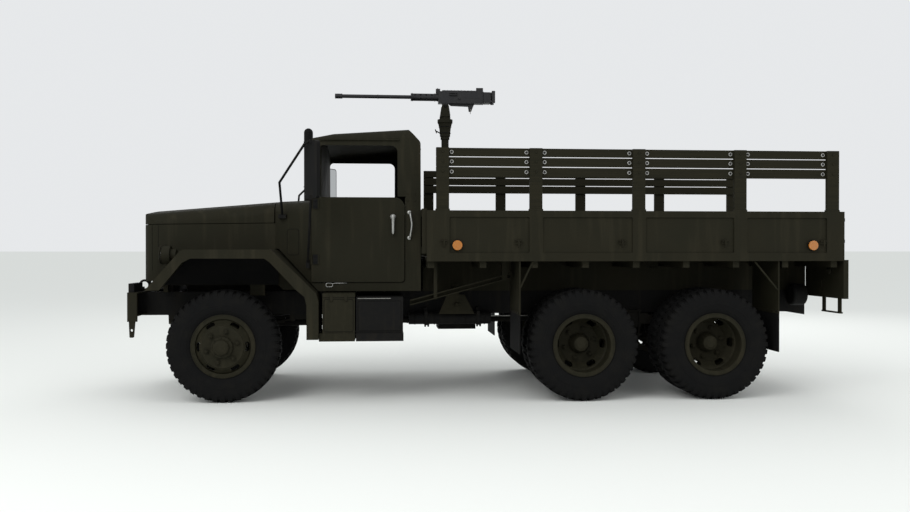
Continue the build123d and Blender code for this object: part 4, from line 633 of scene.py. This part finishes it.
def cab_trim():
    """Rubber glazing beads, wipers, drip rails, the skirt below the hard top and the bolts that hold it."""
    seals = []
    for station in (0.799, 0.843):
        seals.append(bead([(station, 0.028, 1.935), (station, 0.812, 1.935), (station, 0.812, 2.350),
                           (station, 0.028, 2.350)], 0.007, 0.02))
    add_piece("windscreen_beads", both_sides(joined(seals)), RUBBER, smooth=True)
    rear = [bead([(s, -0.33, 1.96), (s, 0.33, 1.96), (s, 0.33, 2.29), (s, -0.33, 2.29)], 0.008, 0.05)
            for s in (1.801, 1.773)]
    add_piece("rear_window_beads", joined(rear), RUBBER, smooth=True)
    wipers = [turned([(-0.016, 0.018), (0.0, 0.024), (0.012, 0.010)], place((0.792, 0.42, 2.378)), "x", 14),
              rod([(0.786, 0.42, 2.378), (0.781, 0.40, 2.20), (0.783, 0.39, 2.12)], 0.004, 0.02),
              rod([(0.783, 0.385, 2.30), (0.783, 0.385, 1.97)], 0.0035),
              blocks([(0.784, 0.7935, 0.381, 0.389, 1.965, 2.305)])]
    add_piece("wipers", both_sides(joined(wipers)), BLACK)
    rail = strap([(0.86, 0.8835, 2.415), (1.20, 0.8835, 2.418), (1.60, 0.8835, 2.418)], 0.014, 0.012, LEFT)
    add_piece("drip_rails", both_sides(rail), OLIVE)
    skirt = side_prism([(1.584, 1.889), (1.660, 1.889), (1.660, 1.8805), (1.800, 1.8805), (1.800, 1.9725),
                        (1.584, 1.9290)], 0.876, 0.9014)
    back_skirt = blocks([(1.774, 1.800, 0.330, 0.877, 1.8805, 1.9725), (1.774, 1.800, 0, 0.330, 1.8805, 1.959)])
    add_piece("hard_top_skirt", both_sides(joined([skirt, back_skirt])), OLIVE)
    belt = [(s, 0.9010, 1.912) for s in (1.680, 1.745)] + [(s, 0.9050, 1.85) for s in (1.680, 1.745)]
    add_piece("hard_top_bolts", both_sides(bolts(belt, LEFT, 0.008, 0.005)), OLIVE)
    back = [(1.8005, y, z) for y in (-0.80, -0.48, 0.48, 0.80) for z in (1.90, 2.34)]
    add_piece("hard_top_rear_bolts", bolts(back, BEHIND, 0.008, 0.005), OLIVE)


def lamp_details():
    """Headlamp bezels with screws and a top tab, red lenses on the tail lamps, reflectors and marker seats; black
    sheets on the fender aprons are painted shade.
    """
    bezel = [ring((-0.589, *HEADLAMP), "x", 0.080, 0.0065, 36, 8),
             ring((-0.575, *HEADLAMP), "x", 0.087, 0.003, 36, 6)]
    tab = blocks([(-0.585, -0.548, 0.768, 0.792, 1.428, 1.446), (-0.5835, -0.578, 0.764, 0.796, 1.405, 1.446)])
    screws = [(-0.5945, HEADLAMP[0] + 0.080 * np.cos(a), HEADLAMP[1] + 0.080 * np.sin(a))
              for a in (0.5, 2.6, 4.7)]
    form = joined(bezel + [tab, bolts(screws, AHEAD, 0.005, 0.004, 8)])
    add_piece("headlamp_bezels", both_sides(form), OLIVE_CAST)
    inner = turned([(-0.006, 0.030), (0.0, 0.036), (0.004, 0.030)], place((-0.5905, *HEADLAMP)), "x", 20)
    add_piece("headlamp_caps", both_sides(inner), BLACK, smooth=True)
    red = blocks([(5.800, 5.8125, 0.893, 1.027, 1.160, 1.220)])
    add_piece("tail_lamp_lenses", both_sides(red), RED_LENS, bevel=0.003)
    disc = turned([(0.0, 0.038), (-0.005, 0.038), (-0.009, 0.032)], place((5.7505, 0.60, 1.19)), "x", 28)
    add_piece("tail_reflectors", both_sides(disc), RED_LENS, smooth=True)
    # Painted shade: a thin black rubber sheet laid over each fender's inner apron darkens it where it only lies
    # in shade.
    sheet = side_prism([(-0.598, 1.064), (0.458, 1.064), (0.458, APRON_TOP), (-0.330, APRON_TOP),
                        (-0.598, 1.083)], APRON_OUTER, APRON_OUTER + 0.0015)
    add_piece("apron_shade_sheets", both_sides(sheet), RUBBER)
    socket = [turned([(0.0, 0.030), (0.012, 0.030), (0.022, 0.018)], place((5.740, 0.951, 1.195)), "x", 18),
              rod([(5.727, 0.951, 1.195), (5.715, 0.93, 1.205), (5.722, 0.90, 1.18), (5.738, 0.90, 1.18)],
                  0.004, 0.015),
              rod([(5.736, 0.80, 1.00), (5.736, 0.80, 1.10)], 0.005)]
    add_piece("lamp_sockets", both_sides(joined(socket)), OLIVE_CAST, smooth=True)
    seats_round = [ring((s, BED_HALF + 0.003, 1.435), "y", 0.0475, 0.0045, 32, 8) for s in MARKER_STATIONS]
    add_piece("marker_seats", both_sides(joined(seats_round)), RUBBER, smooth=True)


def bed_details():
    """Pocket collars, floor ribs, lashing rings, the sill's handle, tailgate latches and mud-guard bolts."""
    collars = [(s - 0.064, s + 0.064, 1.168, 1.2145, 1.748, 1.764) for s in STAKE_STATIONS]
    add_piece("pocket_collars", both_sides(blocks(collars)), OLIVE, bevel=0.002)
    ribs = [(1.90, 5.68, y - 0.018, y + 0.018, 1.3295, 1.3335)
            for y in np.linspace(-1.05, 1.05, 15) if abs(y) > 0.22]
    ribs += [(2.34, 5.68, y - 0.018, y + 0.018, 1.3295, 1.3335) for y in (-0.15, 0.0, 0.15)]
    add_piece("floor_ribs", blocks(ribs), STEP_PAINT, bevel=0.0015)
    rings = []
    for station in (2.45, 3.45, 4.45, 5.45):
        rings.append(ring((station, 1.130, 1.339), "z", 0.028, 0.0055, 24, 8))
        rings.append(blocks([(station - 0.012, station + 0.012, 1.130, 1.158, 1.330, 1.345)]))
    add_piece("lashing_rings", both_sides(joined(rings)), OLIVE_CAST, smooth=True)
    grab = [bead([(4.082, 0.4505, 1.218), (4.208, 0.4505, 1.218), (4.208, 0.4505, 1.280),
                  (4.082, 0.4505, 1.280)], 0.005, 0.028),
            blocks([(4.128, 4.162, 0.444, 0.456, 1.208, 1.226)])]
    add_piece("sill_handles", both_sides(joined(grab)), OLIVE_CAST, smooth=True)
    latches = []
    for y in (-1.12, 1.12):
        latches.append(rod([(5.777, y, 1.44), (5.777, y, 1.742)], 0.008))
        latches.append(rod([(5.777, y, 1.53), (5.781, y - np.sign(y) * 0.06, 1.50)], 0.006))
        latches.append(blocks([(5.770, 5.784, y - 0.022, y + 0.022, z, z + 0.03) for z in (1.46, 1.66)]))
    add_piece("tailgate_latches", joined(latches), OLIVE_CAST, "tailgate")
    heads = [bolts([(s - way * 0.0065, y, 0.818) for s in FLAP_STATIONS for y in np.linspace(0.66, 1.16, 6)],
                   (way, 0, 0), 0.008, 0.006) for way in (1, -1)]
    add_piece("flap_bolts", both_sides(joined(heads)), BLACK)
    clamps = [(s - 0.010, s + 0.010, 0.66, 1.16, 0.806, 0.830) for s in FLAP_STATIONS]
    add_piece("flap_clamps", both_sides(blocks(clamps)), OLIVE, bevel=0.002)


def box_details():
    """Lids, latches, straps, caps and step treads of the boxes and tanks hung beside the frame."""
    lid = [bead([(0.905, y, 0.962) for y in (0.49, 1.1105)] + [(1.195, y, 0.962) for y in (1.1105, 0.49)],
                0.0022),
           bead([(0.92, 1.1105, 0.655), (1.18, 1.1105, 0.655), (1.18, 1.1105, 0.948), (0.92, 1.1105, 0.948)],
                0.0022, 0.02)]
    add_piece("box_seams", both_sides(joined(lid)), SEALER, smooth=True)
    hasps = []
    for station in (0.985, 1.115):
        hasps.append(blocks([(station - 0.013, station + 0.013, 1.109, 1.116, 0.925, 0.985)]))
        hasps.append(rod([(station - 0.012, 1.119, 0.935), (station + 0.012, 1.119, 0.935)], 0.004))
    add_piece("box_hasps", both_sides(joined(hasps)), OLIVE_CAST, bevel=0.0015)
    treads = [(0.884 + 0.03 * i, 0.896 + 0.03 * i, 1.1095, 1.1175, 0.6395, 0.643) for i in range(10)]
    add_piece("step_treads", both_sides(blocks(treads)), STEP_PAINT)
    edge = [(1.22, 1.52, 1.0885, 1.0925, 0.9500, 0.9560)]
    add_piece("battery_box_handle", blocks(edge), BRIGHT, bevel=0.001)
    lines = [bead([(1.225, 1.0905, 0.66), (1.612, 1.0905, 0.66), (1.612, 1.0905, 0.93), (1.225, 1.0905, 0.93)],
                  0.0022, 0.012)]
    add_piece("battery_box_seam", joined(lines), SEALER, smooth=True)
    bands = []
    for station in (1.38, 1.73):
        bands.append(strap([(station, -0.505, 0.9665), (station, -1.0815, 0.9665), (station, -1.0815, 0.5985),
                            (station, -0.505, 0.5985)], 0.045, 0.004, AHEAD, 0.012))
    add_piece("fuel_tank_bands", joined(bands), BLACK)
    cap = [turned([(0.0, 0.052), (0.022, 0.052), (0.026, 0.046), (0.044, 0.046), (0.048, 0.040)],
                  place((1.56, -0.93, 0.962)), "z", 28),
           rod([(1.53, -0.93, 1.012), (1.59, -0.93, 1.012)], 0.006)]
    add_piece("fuel_filler_cap", joined(cap), CAST)
    drains = [bolts([(s, 0.505, 0.669), (s + 0.03, 0.505, 0.669)], DOWN, 0.010, 0.026) for s in (1.86, 2.37)]
    wraps = [ring((s, 0.505, 0.730), "x", 0.0635, 0.004, 36, 6) for s in (1.76, 1.95, 2.25, 2.44)]
    add_piece("air_tank_fittings", joined(drains + wraps), BLACK)
    plate = bolts([(2.157, 0.6405, 0.868)], LEFT, 0.020, 0.020)
    wing = blocks([(2.120, 2.194, 0.662, 0.674, 0.862, 0.874)])
    edge_bolts = bolts([(s, 0.6405, 0.80) for s in (2.02, 2.295)], LEFT, 0.009, 0.007)
    add_piece("carrier_bolts", joined([plate, wing, edge_bolts]), OLIVE_CAST)
    clips = [ring((0.622, -0.862, z), "z", 0.0525, 0.004, 36, 8) for z in (1.62, 1.79, 1.80, 2.10, 2.60)]
    add_piece("stack_clamps", joined(clips), BLACK, smooth=True)


def frame_details():
    """Rail rivets, bumper bolts, spring clips, U-bolts with their plates, brake chambers and air pipes."""
    rivets = [(s, 0.4295, z) for s in np.arange(-0.55, 5.6, 0.3075)
              for z in (0.800, 0.957) if not 3.78 < s < 4.04]
    add_piece("rail_rivets", both_sides(bolts(rivets, LEFT, 0.009, 0.005, 10, 1.0)), BLACK)
    front = [(-0.9005, y, z) for y in (0.36, 0.42, 0.60, 0.70) for z in (0.84, 0.94)]
    add_piece("bumper_bolts", both_sides(bolts(front, AHEAD, 0.011, 0.008)), OLIVE)
    legs = []
    nuts = []
    for s in (-0.066, 0.066):
        for y in (0.3585, 0.4375):
            legs.append(rod([(s, y, 0.425), (s, y, 0.706)], 0.0075))
            nuts.append((s, y, 0.437))
    legs.append(blocks([(-0.085, 0.085, 0.346, 0.450, 0.440, 0.4555),
                        (-0.085, 0.085, 0.346, 0.450, 0.6995, 0.708)]))
    for offset in (-0.066, 0.066):
        for y in (0.4535, 0.5605):
            legs.append(rod([(BOGIE_STATION + offset, y, 0.535), (BOGIE_STATION + offset, y, 0.800)], 0.009))
            nuts.append((BOGIE_STATION + offset, y, 0.553))
            nuts.append((BOGIE_STATION + offset, y, 0.800))
    legs.append(blocks([(3.822, 4.002, 0.440, 0.574, 0.784, 0.796),
                        (3.822, 4.002, 0.440, 0.574, 0.555, 0.567)]))
    clip = [(s - 0.011, s + 0.011, 0.360, 0.436, 0.632, 0.697) for s in (-0.30, 0.30)]
    clip += [(BOGIE_STATION + o - 0.012, BOGIE_STATION + o + 0.012, 0.4555, 0.5585, 0.649, 0.722)
             for o in (-0.30, 0.30)]
    legs.append(blocks(clip))
    legs.append(bolts(nuts, DOWN, 0.014, 0.014))
    add_piece("spring_bolts", both_sides(joined(legs)), CAST)
    cans = []
    for station in (WHEEL_STATIONS["middle"], WHEEL_STATIONS["rear"]):
        for way in (1, -1):
            start = station + way * 0.085
            profile = [(0.0, 0.030), (0.02, 0.058), (0.055, 0.062), (0.060, 0.066), (0.068, 0.066),
                       (0.072, 0.062), (0.115, 0.056), (0.125, 0.030)]
            cans.append(turned([(-way * a, r) for a, r in profile], place((start, 0.372, 0.545)), "x", 24))
    add_piece("brake_chambers", both_sides(joined(cans)), CAST)
    pipes = []
    for y, z, rear_z in ((0.405, 0.955, 0.740), (-0.405, 0.955, 0.955), (-0.390, 0.940, 0.940)):
        run = [(-0.50, y, z), (2.40, y, z), (2.46, y, rear_z), (5.30, y, rear_z)]
        pipes.append(rod(run, 0.006, 0.04, 8))
    add_piece("air_pipes", joined(pipes), BRIGHT, smooth=True)


def radiator_core():
    """Radiator fins behind the guard: thin upright plates 12 mm apart across a core of flat tubes."""
    fins = [(-0.6455, -0.6405, y - 0.0011, y + 0.0011, 1.172, 1.578) for y in np.arange(-0.388, 0.389, 0.012)]
    tubes = [(-0.6435, -0.6400, -0.392, 0.392, z - 0.003, z + 0.003) for z in np.arange(1.19, 1.57, 0.0273)]
    add_piece("radiator_fins", blocks(fins + tubes), CAST)


def cab_controls():
    """Pedals on bent arms, three floor levers with round knobs, and blank dials in bezels."""
    rods = [rod([(0.90, y, 1.42), (0.93, y, 1.25), (0.985, y, 1.17)], 0.008, 0.03) for y in (0.30, 0.42, 0.56)]
    pads = [blocks([(0.975, 0.992, y - 0.035, y + 0.035, 1.125, 1.195)]) for y in (0.30, 0.42, 0.56)]
    levers = []
    for station, y, top, lean in ((1.02, 0.06, 1.62, 0.07), (1.06, -0.03, 1.44, 0.03),
                                  (1.06, 0.14, 1.40, 0.05)):
        levers.append(rod([(station, y, 1.040), (station + lean * 0.4, y, 1.30), (station + lean, y, top)],
                          0.008, 0.05))
        ball = [(-0.020, 0.004), (-0.015, 0.015), (0.0, 0.021), (0.015, 0.015), (0.021, 0.004)]
        levers.append(turned(ball, place((station + lean, y, top + 0.012)), "z", 14))
    add_piece("floor_controls", joined(rods + pads + levers), BLACK)
    bezels = []
    for y, radius in ((0.25, 0.030), (0.34, 0.044), (0.45, 0.044), (0.54, 0.030), (0.61, 0.030)):
        bezels.append(ring((0.902, y, 1.735), "x", radius, 0.0045, 28, 8))
        bezels.append(turned([(0.0, radius), (-0.003, radius)], place((0.9, y, 1.735)), "x", 28))
    switches = bolts([(0.9005, y, 1.64) for y in (0.27, 0.33, 0.39, 0.47, 0.53)], BEHIND, 0.007, 0.018, 10)
    add_piece("dials", joined(bezels + [switches]), BLACK)


def gun_details():
    """Receiver rivets, cover ribs, feed lip, charging handle, jacket collars, sights and lock lever."""
    rivets = [(s, 0.0405, z) for s in np.arange(2.05, 2.48, 0.052) for z in (2.918, 3.018)]
    heads = both_sides(bolts(rivets, LEFT, 0.0045, 0.003, 8, 1.0))
    ribs = blocks([(s, s + 0.006, -0.030, 0.030, 3.038, 3.043) for s in np.arange(2.08, 2.38, 0.035)])
    feed = blocks([(2.135, 2.215, 0.036, 0.062, 2.985, 2.992), (2.135, 2.215, 0.036, 0.062, 3.006, 3.012),
                   (2.135, 2.215, -0.062, -0.036, 2.985, 3.010)])
    collars = [ring((s, 0.0, 2.970), "x", r, 0.004, 32, 8)
               for s, r in ((1.742, 0.038), (1.755, 0.039), (1.985, 0.039), (2.012, 0.039), (1.032, 0.024),
                            (1.400, 0.0195))]
    handle = [rod([(2.235, -0.040, 2.955), (2.235, -0.074, 2.955)], 0.007),
              rod([(2.235, 0.040, 2.955), (2.235, 0.060, 2.955)], 0.010)]
    sight = [blocks([(2.452, 2.458, -0.012, 0.012, 3.066, 3.0715),
                     (2.010, 2.018, -0.003, 0.003, 3.052, 3.066)])]
    slots = blocks([(2.26, 2.44, 0.0395, 0.0418, 2.962, 2.972), (2.26, 2.44, -0.0418, -0.0395, 2.962, 2.972)])
    form = joined([heads, ribs, feed] + collars + handle + sight + [slots])
    add_piece("gun_fittings", form, STEEL, "gun")
    pin = rod([(2.352, -0.030, 2.842), (2.352, 0.030, 2.842)], 0.007)
    tail = rod([(2.352, 0.020, 2.842), (2.352, 0.022, 2.800)], 0.0035)
    add_piece("gun_travel_pin", joined([pin, tail]), BRIGHT, "gun", smooth=True)
    lever = [rod([(2.045, 0, 2.598), (2.000, 0, 2.622)], 0.006),
             rod([(2.004, 0, 2.600), (1.990, 0, 2.640)], 0.0055),
             ring((PINTLE_STATION, 0, 2.664), "z", 0.0615, 0.0045, 36, 8),
             ring((PINTLE_STATION, 0, 2.600), "z", 0.0555, 0.0045, 36, 8)]
    ends = bolts([(PINTLE_STATION, 0.062, 2.872)], LEFT, 0.014, 0.010)
    add_piece("pintle_fittings", joined(lever + [both_sides(ends)]), CAST, "gun_mount")


def mirror_fittings():
    """Clamps where the mirror arms meet the shells, and the bolts of their feet."""
    clamps = [(0.806, 0.832, 1.300, 1.340, z - 0.02, z + 0.02) for z in (2.338, 1.850)]
    feet = bolts([(s, 0.662, 1.726) for s in (0.482, 0.530)], UP, 0.008, 0.007)
    pillar = blocks([(0.744, 0.776, 0.9045, 0.9105, 1.225, 1.300)])
    add_piece("mirror_clamps", both_sides(joined([blocks(clamps), feet, pillar])), BLACK, bevel=0.002)


CHANNEL_WIDTH = 0.007
CHANNEL_DEPTH = 0.006
SIDE_SWELL = 0.0115
# name, side outline (station, z), low y, high y, how far a point may move
SEAT_PADS = (
    ("driver_cushion", ((1.262, 1.300), (1.630, 1.300), (1.630, 1.384), (1.262, 1.384)), 0.212, 0.648, 0.022),
    ("driver_back", ((1.590, 1.412), (1.688, 1.412), (1.708, 1.836), (1.652, 1.836)), 0.212, 0.648, 0.020),
    ("bench_cushion", ((1.262, 1.300), (1.630, 1.300), (1.630, 1.384), (1.262, 1.384)), -0.818, -0.072, 0.022),
    ("bench_back", ((1.590, 1.412), (1.688, 1.412), (1.708, 1.836), (1.652, 1.836)), -0.818, -0.072, 0.020),
)


def baked_mesh(piece):
    """The piece's shape with its modifiers worked in, as a mesh of its own."""
    shown = piece.evaluated_get(bpy.context.evaluated_depsgraph_get())
    return bpy.data.meshes.new_from_object(shown)


def stuffed(piece, reach):
    """Foam in a sewn cover: the closed form is skinned at 6 mm, blown up as cloth under pressure 4, and each
    point's travel from its start is shortened to the reach."""
    skin = piece.modifiers.new("skin", "REMESH")
    skin.mode = "VOXEL"
    skin.voxel_size = 0.006
    mesh = baked_mesh(piece)
    piece.modifiers.clear()
    piece.data = mesh
    start = np.empty(len(mesh.vertices) * 3)
    mesh.vertices.foreach_get("co", start)
    cover = piece.modifiers.new("cover", "CLOTH")
    cover.settings.use_pressure = True
    cover.settings.uniform_pressure_force = 4.0
    cover.settings.quality = 4
    cover.settings.effector_weights.gravity = 0.0
    scene = bpy.context.scene
    for frame_number in range(1, 21):
        scene.frame_set(frame_number)
    swollen = baked_mesh(piece)
    end = np.empty(len(mesh.vertices) * 3)
    swollen.vertices.foreach_get("co", end)
    piece.modifiers.clear()
    scene.frame_set(1)
    travel = (end - start).reshape(-1, 3)
    length = np.linalg.norm(travel, axis=1, keepdims=True)
    short = travel * np.minimum(1.0, reach / np.maximum(length, 1e-9))
    return start.reshape(-1, 3) + short


def seat_pads():
    """Cushions and backs: each cover is stuffed, drawn in along its sewn channels by a bell-shaped groove, held
    inside the space the seat takes, and edged with a welt round the face that is sat on or leant against."""
    welts = []
    for name, outline, low_y, high_y, reach in SEAT_PADS:
        piece = add_piece(name, side_prism(outline, low_y, high_y), CANVAS, smooth=True)
        lying = "cushion" in name
        points = stuffed(piece, reach)
        middle = points.mean(0)
        channels = np.linspace(low_y, high_y, 4 if high_y - low_y < 0.5 else 6)[1:-1]
        near = np.exp(-((points[:, 1:2] - channels[None]) / CHANNEL_WIDTH) ** 2).max(1)
        inward = (middle - points) / np.linalg.norm(middle - points, axis=1, keepdims=True)
        points = points + inward * near[:, None] * CHANNEL_DEPTH
        points[:, 2] = np.clip(points[:, 2], *((1.2905, 1.399) if lying else (1.4005, 1.849)))
        points[:, 1] = np.clip(points[:, 1], low_y - SIDE_SWELL, high_y + SIDE_SWELL)
        piece.data.vertices.foreach_set("co", points.ravel())
        piece.data.update()
        piece.data.polygons.foreach_set("use_smooth", np.full(len(piece.data.polygons), True))
        piece.data.materials.clear()
        piece.data.materials.append(CANVAS)
        front_low, rear_top, front_top = outline[0], outline[2], outline[3]
        if lying:
            edges = ((front_top[0], 1.384, low_y), (front_top[0], 1.384, high_y), (rear_top[0], 1.384, high_y),
                     (rear_top[0], 1.384, low_y))
        else:
            edges = ((front_low[0] - 0.004, front_low[1], low_y), (front_low[0] - 0.004, front_low[1], high_y),
                     (front_top[0] - 0.004, front_top[1], high_y), (front_top[0] - 0.004, front_top[1], low_y))
        welts.append(bead([(station, y, z) for station, z, y in edges], 0.0045, 0.03))
    add_piece("seat_welts", joined(welts), CANVAS, smooth=True)
    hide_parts("seats")


def studio():
    """Pale floor and sky, one broad soft key and a weak fill; the camera stands where the photo's did."""
    size = 1500.0
    floor_points = np.array([(-size, -size, 0), (size, -size, 0), (size, size, 0), (-size, size, 0)])
    mesh = bpy.data.meshes.new("studio_floor")
    mesh.from_pydata(floor_points.tolist(), [], [(0, 1, 2, 3)])
    mesh.materials.append(seamless_paper("#eceeea"))
    floor = bpy.data.objects.new("studio_floor", mesh)
    bpy.context.scene.collection.objects.link(floor)
    world = bpy.data.worlds.new("soft_studio_sky")
    bpy.context.scene.world = world
    world.use_nodes = True
    tree = world.node_tree
    tree.nodes.clear()
    light = add_node(tree, "ShaderNodeLightPath")
    seen = add_node(tree, "ShaderNodeMath", {"operation": "MAXIMUM"}, {0: (light, "Is Camera Ray"),
                    1: (light, "Is Transmission Ray")})
    strength = between(tree, seen, 0, 0, 1, 0.90, 0.88)
    sky = add_node(tree, "ShaderNodeBackground", {"Color": linear("#f4f6f8")}, {"Strength": (strength, 0)})
    add_node(tree, "ShaderNodeOutputWorld", links={"Surface": (sky, "Background")})
    # energy W, size m, place, aim
    for name, power, spread, spot, aim in (("soft_key", 520.0, 7.0, (6.0, 9.0, 8.0), (0.0, 0.0, 1.2)),
                                           ("soft_fill", 160.0, 8.0, (-7.0, 8.0, 5.0), (0.0, 0.0, 1.2)),
                                           ("rear_rim", 260.0, 6.0, (-4.0, -9.0, 7.0), (0.0, 0.0, 1.2))):
        data = bpy.data.lights.new(name, "AREA")
        data.energy = power
        data.size = spread
        lamp = bpy.data.objects.new(name, data)
        bpy.context.scene.collection.objects.link(lamp)
        toward = np.array(aim) - np.array(spot)
        back = -toward / np.linalg.norm(toward)
        right = np.cross((0, 0, 1.0), back)
        right /= np.linalg.norm(right)
        up = np.cross(back, right)
        rows = [(*row, spot[i]) for i, row in enumerate(zip(right, up, back))]
        lamp.matrix_world = Matrix(rows + [(0, 0, 0, 1)])


def camera():
    """Camera fitted to the photo: beside the truck, 9 m out, turned 4.8 degrees and tipped down 0.3."""
    yaw, pitch = 0.083076, 0.006012
    forward = np.array([-np.sin(yaw) * np.cos(pitch), -np.cos(yaw) * np.cos(pitch), -np.sin(pitch)])
    right = np.array([-np.cos(yaw), np.sin(yaw), 0.0])
    up = np.cross(right, forward)
    spot = (FRONT_AXLE_X - 1.43623, 9.10893, 1.38578)
    data = bpy.data.cameras.new("photo_camera")
    data.sensor_width = 36.0
    data.sensor_fit = "HORIZONTAL"
    data.lens = 881.567 / 910 * 36.0
    data.clip_end = 4000.0
    seat = bpy.data.objects.new("photo_camera", data)
    rows = [(*row, spot[i]) for i, row in enumerate(zip(right, up, -forward))]
    seat.matrix_world = Matrix(rows + [(0, 0, 0, 1)])
    bpy.context.scene.collection.objects.link(seat)
    bpy.context.scene.camera = seat


camera()
studio()
finish_cad_nodes()
tyres()
wheel_fittings()
bed_fittings()
body_seams()
cab_handles()
cab_trim()
lamp_details()
bed_details()
box_details()
frame_details()
radiator_core()
cab_controls()
gun_details()
mirror_fittings()
seat_pads()

bpy.context.scene.view_settings.view_transform = "Standard"
